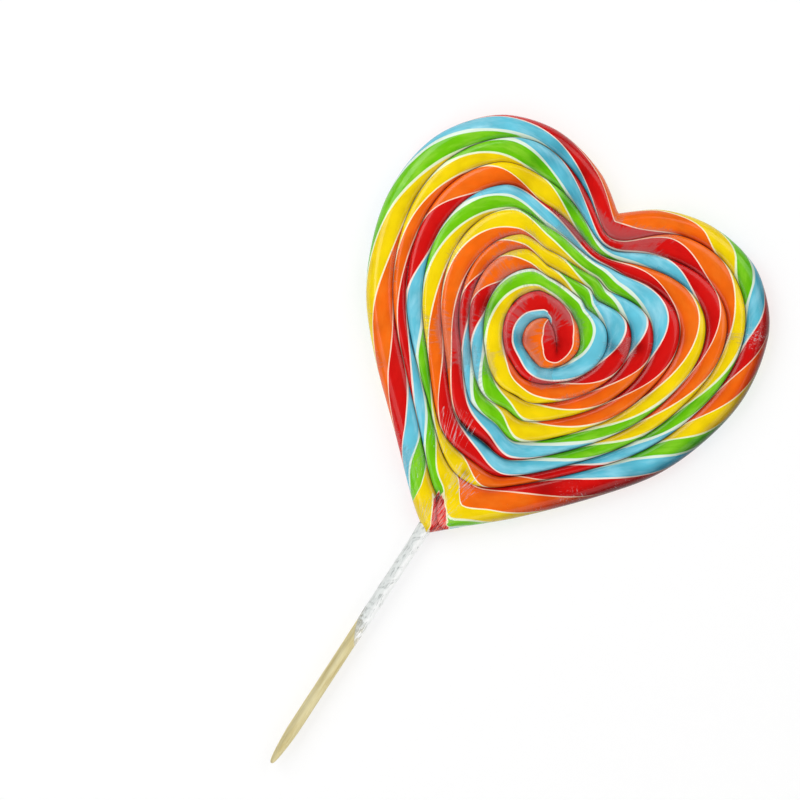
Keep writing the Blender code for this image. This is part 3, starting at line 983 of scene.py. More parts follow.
@dataclass(frozen=True)
class Cellophane:
    """Clear cellophane drawn tight over the sweet: it shows only where it catches the light.

    Where it touches the sugar it vanishes. Where a thin layer of air lies under it, it lays a greyish
    veil over the colour, a painted reflection. Near the tip it is drawn into fine pleats, with painted
    white highlights along them, and where it bends round the rim it is crinkled, with small painted
    glints. Sizes are millimetres.
    """

    veil: float = 0.16
    veil_edge: float = 0.07
    veil_over_seam: float = 0.25
    seam_from: float = 0.86
    # Grey of the veil, a painted reflection.
    veil_colour: str = "A4A6A8"
    glint_colour: str = "F8FAFC"
    jags_a_millimetre: float = 1.7
    jags_across: float = 0.8
    drift_size: float = 15.0
    lift_by_seam: float = 0.9
    lift_by_jags: float = 2.4
    lift_by_drift: float = 2.6
    crumbs_a_millimetre: float = 1.2
    crumbs_across: float = 6.0
    crinkle: float = 0.12
    glint_from: tuple[float, float] = (0.66, 0.76)
    glint: float = 0.26
    hair: float = 0.36
    hair_fade: tuple[float, float] = (0.008, 0.05)
    least_pleat: float = 0.12
    least_strength: float = 0.01
    hairs_a_degree: float = 0.5
    hair_length: float = 25.0
    gleam_edge: float = 0.1
    rim_clear: float = 0.9
    roughness: float = 0.12
    ior: float = 1.47

    def veiled(self, add: Add, along: Socket, across: Socket, object_at: Socket) -> bpy.types.Node:
        """How much the veil covers: most beside the seams, in jagged patches, and little over them.

        A patch lies where a sum of three values, each less a half and times its weight, and of how
        loose the film is there, rises above 0.

        Args:
            add: Adds a node to the tree.
            along: Millimetres along the rope.
            across: Place across the rope, from 0 to 1.
            object_at: Object coordinates.

        Returns:
            The node that gives the cover.
        """
        off_crest = add("Math", {0: across, 1: 2.0, 2: -1.0}, operation="MULTIPLY_ADD")
        off_crest = add("Math", {0: off_crest}, operation="ABSOLUTE")
        lengthwise = add("Math", {0: along, 1: self.jags_a_millimetre}, operation="MULTIPLY")
        crosswise = add("Math", {0: across, 1: self.jags_across}, operation="MULTIPLY")
        jag_at = add("CombineXYZ", {0: lengthwise, 1: crosswise})
        jagged = add("TexNoise", {
            "Vector": jag_at, "Scale": 1.0, "Detail": 2.0, "Roughness": 0.6})
        drift = add("TexNoise", {
            "Vector": object_at, "Scale": 1 / (self.drift_size * MM), "Detail": 1.5})
        sources = (
            (off_crest, self.lift_by_seam), (jagged, self.lift_by_jags), (drift, self.lift_by_drift))
        lifted, *others = (
            add("Math", {0: source, 1: weight, 2: -weight / 2}, operation="MULTIPLY_ADD")
            for source, weight in sources)
        for term in (*others, add("Attribute", attribute_name="loose").outputs["Fac"]):
            lifted = add("Math", {0: lifted, 1: term}, operation="ADD")
        patches = add("MapRange", {
            "Value": lifted, "From Max": self.veil_edge, "To Max": self.veil})
        over_seam = add("MapRange", {
            "Value": off_crest, "From Min": self.seam_from, "To Min": 1.0,
            "To Max": self.veil_over_seam,
        }, interpolation_type="SMOOTHSTEP")
        return add("Math", {0: patches, 1: over_seam}, operation="MULTIPLY")

    def glints(self, add: Add, along: Socket, across: Socket) -> bpy.types.Node:
        """Small glints where the film is crinkled, on the peaks of a fine noise.

        Args:
            add: Adds a node to the tree.
            along: Millimetres along the rope.
            across: Place across the rope, from 0 to 1.

        Returns:
            The node that gives their brightness.
        """
        crinkled = add("Attribute", attribute_name="crinkled").outputs["Fac"]
        crosswise = add("Math", {0: across, 1: self.crumbs_across}, operation="MULTIPLY")
        crumb_at = add("CombineXYZ", {0: along, 1: crosswise})
        crumbs = add("TexNoise", {
            "Vector": crumb_at, "Scale": self.crumbs_a_millimetre, "Detail": 3.0,
            "Roughness": 0.75, "Distortion": 1.2})
        raised = add("Math", {0: crinkled, 1: self.crinkle, 2: crumbs}, operation="MULTIPLY_ADD")
        peaks = add("MapRange", {
            "Value": raised, "From Min": self.glint_from[0], "From Max": self.glint_from[1],
            "To Max": self.glint,
        }, interpolation_type="SMOOTHSTEP")
        return add("Math", {0: peaks, 1: crinkled}, operation="MULTIPLY")

    def hairs(self, add: Add) -> bpy.types.Node:
        """Fine white hairs along the pleats, where a drawn-out noise crosses its middle value.

        The hairs are painted highlights. A hair's brightness falls off with the noise's distance from
        that value over the strength of the pleats.

        Args:
            add: Adds a node to the tree.

        Returns:
            The node that gives their brightness.
        """
        pleat = add("Attribute", attribute_name="pleat").outputs["Fac"]
        hair_at = add("Mapping", {
            0: add("UVMap", uv_map="drawn"), "Scale": (self.hairs_a_degree, 1 / self.hair_length, 1)})
        drawn = add("TexNoise", {
            "Vector": hair_at, "Scale": 1.0, "Detail": 2.0, "Distortion": 0.3})
        off = add("Math", {0: drawn, 1: 0.5}, operation="SUBTRACT")
        off = add("Math", {0: off}, operation="ABSOLUTE")
        strength = add("Math", {0: pleat, 1: self.least_strength}, operation="MAXIMUM")
        hair = add("MapRange", {
            "Value": add("Math", {0: off, 1: strength}, operation="DIVIDE"),
            "From Min": self.hair_fade[0], "From Max": self.hair_fade[1], "To Min": self.hair,
            "To Max": 0.0,
        }, interpolation_type="SMOOTHSTEP")
        pleated = add("Math", {0: pleat, 1: self.least_pleat}, operation="GREATER_THAN")
        return add("Math", {0: hair, 1: pleated}, operation="MULTIPLY")

    def material(self) -> bpy.types.Material:
        """The node material. It reads where it lies on the rope and among the pleats.

        Returns:
            The material.
        """
        made, add = new_material("cellophane")
        rope = add("SeparateXYZ", {0: add("UVMap", uv_map="rope_place")}).outputs
        along, across = rope[0], rope[1]
        object_at = add("TexCoord").outputs["Object"]
        # The glints and the hairs are painted highlights, in the glint colour.
        bright = add("Math", {0: self.glints(add, along, across), 1: self.hairs(add)},
                     operation="MAXIMUM")
        cover = add("Math", {0: self.veiled(add, along, across, object_at), 1: bright},
                    operation="MAXIMUM")
        gleaming = add("MapRange", {"Value": bright, "From Max": self.gleam_edge})
        tone = add("Mix", {
            "Factor": gleaming, FIRST: linear(self.veil_colour),
            SECOND: linear(self.glint_colour)}, data_type="RGBA")
        rim = add("Attribute", attribute_name="rim").outputs["Fac"]
        off_rim = add("Math", {0: rim, 1: -self.rim_clear, 2: 1.0}, operation="MULTIPLY_ADD")
        cover = add("Math", {0: cover, 1: off_rim}, operation="MULTIPLY")
        film = add("BsdfPrincipled", {
            "Base Color": tone, "Roughness": self.roughness, "IOR": self.ior})
        mixed = add("MixShader", {0: cover, 1: add("BsdfTransparent"), 2: film})
        add("OutputMaterial", {"Surface": mixed})
        return made


@dataclass(frozen=True)
class GatheredFilm:
    """The same film in many layers, twisted hard: whitish, a little clearer between its folds.

    Its side away from the light is painted a soft grey, as shade, and the other side glows a little,
    painted light that stands for light let through from behind. Sizes are millimetres.
    """

    streak_width: float = 0.7
    streak_length: float = 3.0
    streak_height: float = 2.2
    streak_level: float = -0.95
    thinning: float = 0.9
    between_folds: str = "E2E5E4"
    on_folds: str = "FDFEFD"
    shaded_tone: str = "DCDFDE"
    painted_glow: float = 0.13
    cover_from: tuple[float, float] = (-0.5, 0.3)
    cover: tuple[float, float] = (0.35, 0.97)
    bump_strength: float = 0.13
    bump_depth: float = 0.3
    roughness: float = 0.28
    ior: float = 1.47

    def material(self) -> bpy.types.Material:
        """The node material. It reads how high the folds are, how thin the film and which side is lee.

        Returns:
            The material.
        """
        made, add = new_material("gathered_cellophane")
        fold, thin, lee = (
            add("Attribute", attribute_name=name).outputs["Fac"] for name in ("fold", "thin", "lee"))
        wide, long = 1 / (self.streak_width * MM), 1 / (self.streak_length * MM)
        drawn_out = add("Mapping", {
            0: add("TexCoord").outputs["Object"], "Scale": (wide, long, wide)})
        streak = add("TexNoise", {
            "Vector": drawn_out, "Scale": 1.0, "Detail": 3.0, "Roughness": 0.6, "Distortion": 0.8})
        height = add("Math", {0: streak, 1: self.streak_height, 2: self.streak_level},
                     operation="MULTIPLY_ADD")
        height = add("Math", {0: fold, 1: height}, operation="ADD")
        layers = add("Math", {0: thin, 1: -self.thinning, 2: height}, operation="MULTIPLY_ADD")
        cover = add("MapRange", {
            "Value": layers, "From Min": self.cover_from[0], "From Max": self.cover_from[1],
            "To Min": self.cover[0], "To Max": self.cover[1],
        }, interpolation_type="SMOOTHSTEP")
        tone = add("ValToRGB", {0: height}, [
            (0.0, linear(self.between_folds)), (0.5, linear(self.on_folds))], "LINEAR")
        # Painted shade on the side away from the light.
        tone = add("Mix", {"Factor": lee, FIRST: tone, SECOND: linear(self.shaded_tone)},
                   data_type="RGBA", blend_type="MULTIPLY")
        bump = add("Bump", {
            "Strength": self.bump_strength, "Distance": self.bump_depth * MM, "Height": streak})
        # Painted light: the side out of that shade glows a little.
        lit = add("Math", {0: 1.0, 1: lee}, operation="SUBTRACT")
        lit = add("Math", {0: lit, 1: 2.0}, operation="POWER")
        film = add("BsdfPrincipled", {
            "Base Color": tone, "Roughness": self.roughness, "IOR": self.ior, "Normal": bump,
            "Emission Color": FULL,
            "Emission Strength": add("Math", {0: self.painted_glow, 1: lit}, operation="MULTIPLY")})
        mixed = add("MixShader", {0: cover, 1: add("BsdfTransparent"), 2: film})
        add("OutputMaterial", {"Surface": mixed})
        return made


@dataclass(frozen=True)
class BirchWood:
    """Birch dowel, sanded but bare: pale cream with fine darker grain along its length.

    Its side away from the light is painted a deeper tan, as shade. Sizes are millimetres.
    """

    pale: str = "FBEFBB"
    grain: str = "DDC987"
    grains_a_millimetre: tuple[float, float] = (3.2, 0.06)
    grain_stops: tuple[float, float] = (0.35, 0.6)
    grain_strength: float = 0.4
    grain_depth: float = 0.08
    shaded_tone: str = "CBCBCC"
    roughness: float = 0.62
    specular: float = 0.3

    def material(self) -> bpy.types.Material:
        """The node material. Its grain runs along the stick, in the stick's own map.

        Returns:
            The material.
        """
        made, add = new_material("birch_wood")
        lie = add("UVMap", uv_map="grain")
        stretched = add("Mapping", {0: lie, "Scale": (*self.grains_a_millimetre, 1)})
        fibres = add("TexNoise", {
            "Vector": stretched, "Scale": 1.0, "Detail": 4.0, "Roughness": 0.6})
        colour = add("ValToRGB", {0: fibres}, [
            (self.grain_stops[0], linear(self.grain)), (self.grain_stops[1], linear(self.pale)),
        ], "LINEAR")
        # Painted shade on the side away from the light.
        lee = add("Attribute", attribute_name="lee").outputs["Fac"]
        colour = add("Mix", {"Factor": lee, FIRST: colour, SECOND: linear(self.shaded_tone)},
                     data_type="RGBA", blend_type="MULTIPLY")
        bump = add("Bump", {
            "Strength": self.grain_strength, "Distance": self.grain_depth * MM, "Height": fibres})
        surface = add("BsdfPrincipled", {
            "Base Color": colour, "Roughness": self.roughness,
            "Specular IOR Level": self.specular, "Normal": bump})
        add("OutputMaterial", {"Surface": surface})
        return made


@dataclass(frozen=True)
class StudioPaper:
    """Matt white paper with a faint mottle of pulp.

    Round the sweet it lies over a lit panel, which keeps the shadows on it faint. Away from there it
    is lit from above alone. The mottle's size is millimetres, and the panel's two radii are metres.
    """

    colour: str = "FCFCFC"
    mottle: str = "F9F9F9"
    mottle_size: float = 3.0
    over_panel: str = "989898"
    glow: float = 0.68
    panel: tuple[float, float] = (0.35, 0.9)
    roughness: float = 0.9
    specular: float = 0.1

    def material(self) -> bpy.types.Material:
        """The node material of the floor and the wall.

        Returns:
            The material.
        """
        made, add = new_material("background_paper")
        object_at = add("TexCoord").outputs["Object"]
        pulp = add("TexNoise", {
            "Vector": object_at, "Scale": 1 / (self.mottle_size * MM), "Detail": 2.0})
        colour = add("ValToRGB", {0: pulp}, [
            (NOISE_LOW, linear(self.mottle)), (NOISE_HIGH, linear(self.colour))], "LINEAR")
        distance = add("VectorMath", {0: object_at}, operation="LENGTH")
        lit = add("MapRange", {
            "Value": distance, "From Min": self.panel[0], "From Max": self.panel[1], "To Min": 1.0,
            "To Max": 0.0,
        }, interpolation_type="SMOOTHSTEP")
        colour = add("Mix", {"Factor": lit, FIRST: colour, SECOND: linear(self.over_panel)},
                     data_type="RGBA")
        surface = add("BsdfPrincipled", {
            "Base Color": colour, "Roughness": self.roughness,
            "Specular IOR Level": self.specular, "Emission Color": FULL,
            "Emission Strength": add("Math", {0: lit, 1: self.glow}, operation="MULTIPLY")})
        add("OutputMaterial", {"Surface": surface})
        return made


def make_coiled(name: str, grid: SwirlGrid, place: Place, material: bpy.types.Material,
                layer: Callable[[Face], dict[str, Array]]) -> bpy.types.Object:
    """Make a piece whose two faces follow the coil.

    Args:
        name: The piece's name.
        grid: Its rows and stations.
        place: Where it lies.
        material: Its finish.
        layer: Gives a face's arrays by row and station: its points, its maps, which hold two numbers
            for each place, and its values, which hold one.

    Returns:
        The new object.
    """
    layers = {face: layer(face) for face in Face}
    both = {title: {face: layers[face][title] for face in Face} for title in layers[Face.SHOWN]}
    points = grid.gather(both.pop("points"))
    maps = {title: grid.corner_values(pair) for title, pair in both.items()
            if pair[Face.SHOWN].ndim == 3}
    values = {title: grid.gather(pair) for title, pair in both.items() if pair[Face.SHOWN].ndim == 2}
    return make_piece(name, place.to_world(points), grid.triangles(), material, maps, values)


@dataclass
class Sweet:
    """The heart of coiled rope.

    Painted shade darkens the rope where it tucks under its neighbour, along the rim away from the light,
    in a few spots, each given by x, y, radius and depth, and along one stretch squeezed between two
    turns.
    By the tip lies a torn wedge.
    """

    place: Place
    swirl: Swirl
    steps: int = 300
    parts: dict[Face, int] = field(default_factory=lambda: {Face.SHOWN: 15, Face.BACK: 6})
    # Half widths, in millimetres, of the painted shade along the seams.
    seam_half_width: float = 0.23
    seam_swing: Wander = Wander(0.5, 70.0, seed=8)
    tail_half_width: float = 0.7
    tail_narrows: float = 0.5
    gap_half_width: float = 1.1
    farthest_share: float = 9.0
    least_width: float = 0.1
    least_slope: float = 0.02
    crest_swing: Wander = Wander(0.12, 300.0, seed=11)
    tuck: float = 0.36
    tuck_swing: float = 0.14
    tuck_wander: Wander = Wander(0.12, 70.0, seed=9)
    tuck_width: float = 1.6
    tuck_power: float = 1.5
    shade_bearing: float = -10.0
    rim_shade: float = 0.88
    rim_shade_width: float = 6.0
    rim_shade_power: float = 1.5
    rim_shade_side: tuple[float, float, float] = (2.2, 0.65, 0.1)
    shade_places: Places = (
        (24.5, 93.8, 2.2, 0.4), (32.0, 98.5, 2.6, 0.42), (-29.3, 143.9, 4.0, 0.25),
        (-17.9, 141.8, 3.0, 0.4), (-2.4, 14.6, 1.7, 0.9), (1.5, 27.0, 1.6, 0.45),
        (-16.0, 131.5, 4.0, 0.35), (-13.0, 137.0, 3.5, 0.25), (-34.5, 137.5, 4.5, 0.3),
        (-34.5, 127.0, 3.5, 0.3), (-23.0, 140.5, 4.0, 0.15), (-28.4, 150.8, 4.0, 0.2),
        (3.2, 40.4, 3.0, 0.35), (-6.5, 79.5, 3.5, 0.35), (30.0, 36.0, 4.5, 0.3),
        (54.3, 57.2, 3.5, 0.25), (-23.0, 84.0, 4.0, 0.3),
    )
    squeezed: tuple[tuple[float, float], tuple[float, float]] = ((-19.5, 125.6), (-5.5, 121.6))
    squeezed_half_width: float = 1.4
    squeezed_shade: float = 0.4
    torn_top: tuple[float, float] = (-2.9, 15.2)
    torn_foot: tuple[float, float] = (3.2, 5.4)
    torn_half_widths: tuple[float, float] = (1.9, 3.1)
    torn_ragged: Wander = Wander(0.25, 3.0, seed=14)
    torn_deepest: float = 3.0
    torn_lowest: float = 1.3
    bake_places: dict[Face, tuple[float, float]] = field(
        default_factory=lambda: {Face.SHOWN: (0.01, 0.66), Face.BACK: (0.69, 0.3)})

    def shade(self, grid: SwirlGrid, flat: Array) -> Array:
        """How much light is lost on the shown face.

        This light is lost to painted shade. It is most at each turn's inner edge, tucked under its
        neighbour, and falls off as a bell curve. The rim on the side away from the light, a few spots
        and a stretch squeezed between two turns add to it, the last as a bell curve of the distance from
        a line.

        Args:
            grid: The rows and stations.
            flat: Their places seen from above.

        Returns:
            The share lost, by row and station.
        """
        across = grid.stations(Face.SHOWN)
        inner = across * grid.width[:, None]
        away = np.cos(np.radians(grid.turned - self.shade_bearing))
        strength = self.tuck + self.tuck_swing * away + self.tuck_wander.at(grid.turned)
        fade = np.exp(-((inner / self.tuck_width) ** self.tuck_power))
        lost = np.clip(strength, 0, 1)[:, None] * fade
        from_edge = (1 - across) * grid.width[:, None] / self.rim_shade_width
        edge = np.clip(1 - from_edge, 0, 1) ** self.rim_shade_power
        gain, less, least = self.rim_shade_side
        low_side = np.clip(gain * away - less, least, 1) * grid.on_rim
        kept = (1 - lost) * (1 - self.rim_shade * edge * low_side[:, None])
        kept = kept * np.prod(1 - bells(flat, self.shade_places), axis=0)
        start, end = np.array(self.squeezed)
        share = np.clip((flat - start) @ (end - start) / ((end - start) ** 2).sum(), 0, 1)
        off = flat - start - share[..., None] * (end - start)
        bell = np.exp(-((off**2).sum(axis=-1)) / self.squeezed_half_width**2)
        return 1 - kept * (1 - self.squeezed_shade * bell)

    def colour_numbers(self, grid: SwirlGrid, face: Face, rim: Array) -> Array:
        """Colour numbers of one face.

        A number is five times the turns, plus the colours that show times an angle's share of a half
        turn, counted from the crest. The angle is the one whose cosine is 1 less twice the place
        across. Down the rim the rest of the quarter of the girth comes into sight, and more by the tip.

        Args:
            grid: The rows and stations.
            face: The face.
            rim: How far the rim has dropped towards mid-thickness, from 0 to 1.

        Returns:
            The colour numbers, by row and station.
        """
        across = grid.stations(face)
        inner_turned = grid.turned - 360
        all_round = len(Stripe)
        crest = all_round * self.swirl.turns(inner_turned)[:, None] + all_round / 4
        girth = self.swirl.colours_shown(inner_turned)[:, None]
        aside = girth * (np.arccos(1 - 2 * across) / math.pi - 0.5)
        aside = aside + (all_round / 4 - girth / 2) * rim
        middle, length, more = self.swirl.roll_out
        rolled = more * np.exp(-(((inner_turned - middle) / length) ** 2))[:, None]
        start, within, less = self.swirl.roll_in
        rolled = rolled - less * smooth_step((inner_turned - start) / within)[:, None]
        aside = np.where(across > 0.5, aside * (1 + rolled), aside)
        if face is Face.BACK:
            return crest + all_round / 2 - aside
        numbers = crest + aside
        core = grid.turned < self.swirl.start + 360
        numbers[core] = EyePattern().core(grid.turned[core], across[None])
        return numbers

    def colour_map(self, grid: SwirlGrid, face: Face, rim: Array) -> Array:
        """Colour number, and millimetres across the rope for each colour, on one face.

        The millimetres are 1 over how fast the colour number changes along the surface, where a step
        is the root of the sum of the squares of its flat length and of its drop down the rim.

        Args:
            grid: The rows and stations.
            face: The face.
            rim: How far the rim has dropped towards mid-thickness, from 0 to 1.

        Returns:
            Both numbers, by row and station.
        """
        numbers = self.colour_numbers(grid, face, rim)
        width = np.maximum(grid.width, self.least_width)[:, None]
        flat_steps = np.diff(grid.stations(face)) * width
        steps = np.hypot(flat_steps, np.diff(rim, axis=1) * self.place.thickness / 2)
        length = np.concatenate((np.zeros((len(steps), 1)), np.cumsum(steps, axis=1)), axis=1)
        slope = np.abs(np.gradient(numbers, axis=1)) / np.gradient(length, axis=1)
        # At a seam the angle changes too fast to be measured in a step, so the slope there is raised.
        slope[:, 0] = 4 * slope[:, 1]
        slope[:, -1] *= np.where(grid.on_rim, 1, 2)
        return np.stack((numbers, 1 / np.maximum(slope, self.least_slope)), axis=-1)

    def torn_end(self, flat: Array) -> tuple[Array, Array]:
        """How deep each place lies in the torn wedge, whose sides spread evenly from a rounded top.

        Args:
            flat: Places seen from above.

        Returns:
            Millimetres within its sides, and the share of the way down to its foot.
        """
        top, run = np.array(self.torn_top), np.subtract(self.torn_foot, self.torn_top)
        length = np.linalg.norm(run)
        forward = run / length
        off = flat - top
        down = off @ forward
        beside = np.abs(off @ np.array((-forward[1], forward[0])))
        spread = np.interp(down / length, (0, 1), self.torn_half_widths) + self.torn_ragged.at(down)
        rounded = np.sqrt(np.clip(1 - (1 - down / self.torn_half_widths[0]) ** 2, 0, 1))
        half = spread * np.where(down < self.torn_half_widths[0], rounded, 1)
        within = np.where(down > 0, np.clip(half - beside, 0, self.torn_deepest), 0)
        return within, np.clip(down / length, 0, self.torn_lowest)

    def bake_map(self, face: Face, flat: Array, drops: Array) -> Array:
        """A map for stored textures: each face laid flat with the rim opened out, the shown one larger.

        A place is pushed away from the eye by how far it lies below the crest.

        Args:
            face: The face.
            flat: Places seen from above.
            drops: How far each lies below the crest.

        Returns:
            Places in the map, by row and station.
        """
        corner, size = self.bake_places[face]
        away = flat - self.swirl.eye
        reach = np.linalg.norm(away, axis=-1, keepdims=True)
        opened = away * (1 + drops[..., None] / np.maximum(reach, 1.0))
        opened[..., 0] *= face.value
        low = opened.min(axis=(0, 1))
        extent = (opened.max(axis=(0, 1)) - low).max()
        return corner + (opened - low) / extent * size

    def seam_share(self, grid: SwirlGrid, section: Section, face: Face) -> Array:
        """Distance from the nearer seam, as a share of that seam's dark half width.

        Args:
            grid: The rows and stations.
            section: The section, which says where the seam gapes.
            face: The face.

        Returns:
            The share, by row and station.
        """
        across = grid.stations(face)
        half = self.seam_half_width * (1 + self.seam_swing.at(grid.turned))
        half = half + self.gap_half_width * section.gap(grid.turned)
        down_tail = grid.piece / grid.tail_parts
        tail = half[0] * (self.tail_half_width - self.tail_narrows * down_tail)
        inner_half = np.where(grid.in_core, tail, half[np.maximum(grid.row - grid.steps, 0)])
        from_inner = across * grid.width[:, None] / inner_half[:, None]
        from_outer = (1 - across) * grid.width[:, None] / half[:, None]
        from_outer = np.where(grid.on_rim[:, None], np.inf, from_outer)
        return np.minimum(np.minimum(from_inner, from_outer), self.farthest_share)

    def layer(self, grid: SwirlGrid, section: Section, face: Face) -> dict[str, Array]:
        """Points, maps and values of one face.

        A point's height is the section's. On the shown face each turn also swells a little along its
        crest, by four times the place across times 1 less it.

        Args:
            grid: The rows and stations.
            section: The section across a turn.
            face: The face.

        Returns:
            The arrays by name, by row and station.
        """
        shown = face is Face.SHOWN
        across, flat = grid.stations(face), grid.flat(face)
        drops = section.drops(grid, face)
        swell = self.crest_swing.at(grid.turned)[:, None]
        swell = swell * (4 * across * (1 - across)) * ~grid.on_rim[:, None]
        height = section.thickness - drops + swell if shown else drops
        rim = section.rim_drop(across, grid.width[:, None]) / (section.thickness / 2)
        rim = np.where(grid.on_rim[:, None] & (across > 0.5), rim, 0)
        within, down = self.torn_end(flat)
        return {
            "points": np.concatenate((flat, height[..., None]), axis=-1),
            "OFBake": self.bake_map(face, flat, drops),
            "rope_colours": self.colour_map(grid, face, rim),
            "rope_place": grid.rope_place(face),
            "seam_share": self.seam_share(grid, section, face),
            "tuck": self.shade(grid, flat) if shown else np.zeros(height.shape),
            "torn": within * shown,
            "torn_foot": down * shown,
            "rim": rim * shown,
        }

    def build(self) -> bpy.types.Object:
        """Build and dress the sweet.

        Returns:
            The object, riding on the root body in place of the solid.
        """
        grid = SwirlGrid(self.swirl, self.steps, self.parts)
        section = Section(self.place.thickness)
        piece = make_coiled("sugar_heart", grid, self.place, BoiledSugar().material(),
                            partial(self.layer, grid, section))
        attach(piece, "root")
        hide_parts("candy_heart")
        return piece


@dataclass
class FilmSkin:
    """The film that lies tight on the sweet, bridging its seams.

    Where it is pleated, hazy or crinkled is given by places: x, y, radius and strength. The haze is a
    painted reflection where the film lies loose. A place of less than no haze keeps the film clear there.
    """

    place: Place
    swirl: Swirl
    steps: int = 200
    parts: dict[Face, int] = field(default_factory=lambda: {Face.SHOWN: 10, Face.BACK: 4})
    lift: float = 0.12
    sag: float = 0.45
    pleat_height: float = 0.25
    pleat_swerve: Wander = Wander(3.0, 30.0, seed=2)
    pleat_ridges: Wander = Wander(1.0, 26.0, seed=21, waves=7)
    drawn_to: tuple[float, float] = (-1.2, -2.0)
    pleated_places: Places = (
        (1.0, 8.0, 6.5, 1.0), (2.0, 24.0, 5.0, 0.8), (-11.0, 38.0, 7.0, 0.6), (-17.0, 19.0, 5.0, 0.3),
    )
    hazy_places: Places = (
        (-14.0, 92.0, 26.0, 1.15), (3.0, 86.0, 12.0, 0.6), (-1.3, 134.6, 6.5, 1.7),
        (11.8, 131.7, 7.0, 1.6), (18.7, 139.0, 5.0, 1.1), (-27.0, 66.0, 13.0, 0.95),
        (61.0, 120.0, 4.0, 1.3), (-19.0, 22.0, 7.0, 1.4), (-6.5, 93.4, 4.2, -1.1),
        (7.3, 89.6, 3.4, -1.0), (7.6, 81.0, 3.4, -1.0), (-1.0, 40.5, 8.0, -2.0),
        (-17.0, 74.0, 5.5, -1.1), (-17.5, 88.0, 4.0, -0.8), (1.5, 102.0, 5.0, -0.9),
        (-0.3, 139.0, 3.2, -2.2), (-13.0, 123.7, 2.6, 1.5), (-7.5, 121.9, 2.6, 1.5),
        (8.5, 71.0, 3.6, 1.6), (28.0, 96.0, 4.0, 1.5), (-23.0, 84.0, 4.5, -0.9),
    )
    crinkled_places: Places = (
        (66.5, 124.0, 7.0, 1.3), (41.0, 37.0, 10.0, 1.0), (54.0, 49.0, 9.0, 0.9),
        (26.0, 23.0, 8.0, 0.6),
    )
    clear_level: float = -0.85

    def pleats(self, flat: Array) -> tuple[Array, Array, Array]:
        """Pleats drawn to the stick, strongest about a few places near where it enters.

        Args:
            flat: Places seen from above.

        Returns:
            The ridges' height and the pleats' strength, both from 0 to 1, and the place among the
            pleats: degrees about the entry and millimetres from it.
        """
        away = flat - self.drawn_to
        reach = np.linalg.norm(away, axis=-1)
        bearing = np.degrees(np.arctan2(away[..., 0], away[..., 1]))
        ridge = np.clip(self.pleat_ridges.at(bearing + self.pleat_swerve.at(reach)), 0, 1)
        fade = bells(flat, self.pleated_places).max(axis=0)
        return ridge**2 * fade, fade, np.stack((bearing, reach), axis=-1)

    def layer(self, grid: SwirlGrid, section: Section, face: Face) -> dict[str, Array]:
        """Points, maps and values of one face.

        The film follows the section, but sags only part of the way into each seam. It lies a small
        lift above the sugar, straight up on the faces and straight outwards on the rim.

        Args:
            grid: The rows and stations.
            section: The section across a turn.
            face: The face.

        Returns:
            The arrays by name, by row and station.
        """
        shown = face is Face.SHOWN
        flat = grid.flat(face)
        drops = section.drops(grid, face)
        down_rim = grid.on_rim[:, None] & (grid.stations(face) > 0.5)
        bridged = np.where(down_rim, drops, drops * self.sag)
        outward = flat - self.swirl.eye
        outward = outward / np.maximum(np.linalg.norm(outward, axis=-1, keepdims=True), 1.0)
        rim = smooth_step(drops / (section.thickness / 2)) * grid.on_rim[:, None]
        ridge, fade, drawn = self.pleats(flat)
        up = self.lift * (1 - rim) + self.pleat_height * ridge * shown
        height = section.thickness - bridged + up if shown else bridged - up
        pushed = flat + outward * rim[..., None] * self.lift
        return {
            "points": np.concatenate((pushed, height[..., None]), axis=-1),
            "rope_place": grid.rope_place(face),
            "drawn": drawn,
            "pleat": fade,
            "loose": self.clear_level + bells(flat, self.hazy_places).sum(axis=0),
            "rim": rim * shown,
            "crinkled": bells(flat, self.crinkled_places).max(axis=0),
        }

    def build(self) -> bpy.types.Object:
        """Build and dress the skin.

        Returns:
            The object, riding on the root body with the sweet.
        """
        grid = SwirlGrid(self.swirl, self.steps, self.parts)
        section = Section(self.place.thickness)
        piece = make_coiled("film_skin", grid, self.place, Cellophane().material(),
                            partial(self.layer, grid, section))
        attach(piece, "root")
        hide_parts("candy_heart")
        return piece


@dataclass
class StickLine:
    """The stick's axis: where it enters the sweet, where its point is, and what that gives."""

    place: Place
    point: tuple[float, float] = (-5.4, -100.0)
    at_tip: tuple[float, float] = (-1.2, 0.0)

    def lay(self, radius: Array, angle: Array, height: Array) -> Array:
        """Lay points about the axis.

        A point is the tip's, plus its radius times the cosine of its angle to the side and times the
        sine upwards, plus its height along the axis.

        Args:
            radius: Distances from the axis.
            angle: Angles about it.
            height: Heights above the tip.

        Returns:
            The points, in metres.
        """
        run = np.subtract(self.at_tip, self.point)
        forward = np.array((*(run / np.linalg.norm(run)), 0.0))
        side = np.array((forward[1], -forward[0], 0.0))
        up = np.array((0.0, 0.0, 1.0))
        centre = np.array((*self.at_tip, self.place.thickness / 2))
        off = (radius * np.cos(angle))[..., None] * side + (radius * np.sin(angle))[..., None] * up
        return self.place.to_world(centre + off + height[..., None] * forward)

    @property
    def free_length(self) -> float:
        """Length of the stick below the tip."""
        return float(np.linalg.norm(np.subtract(self.at_tip, self.point)))


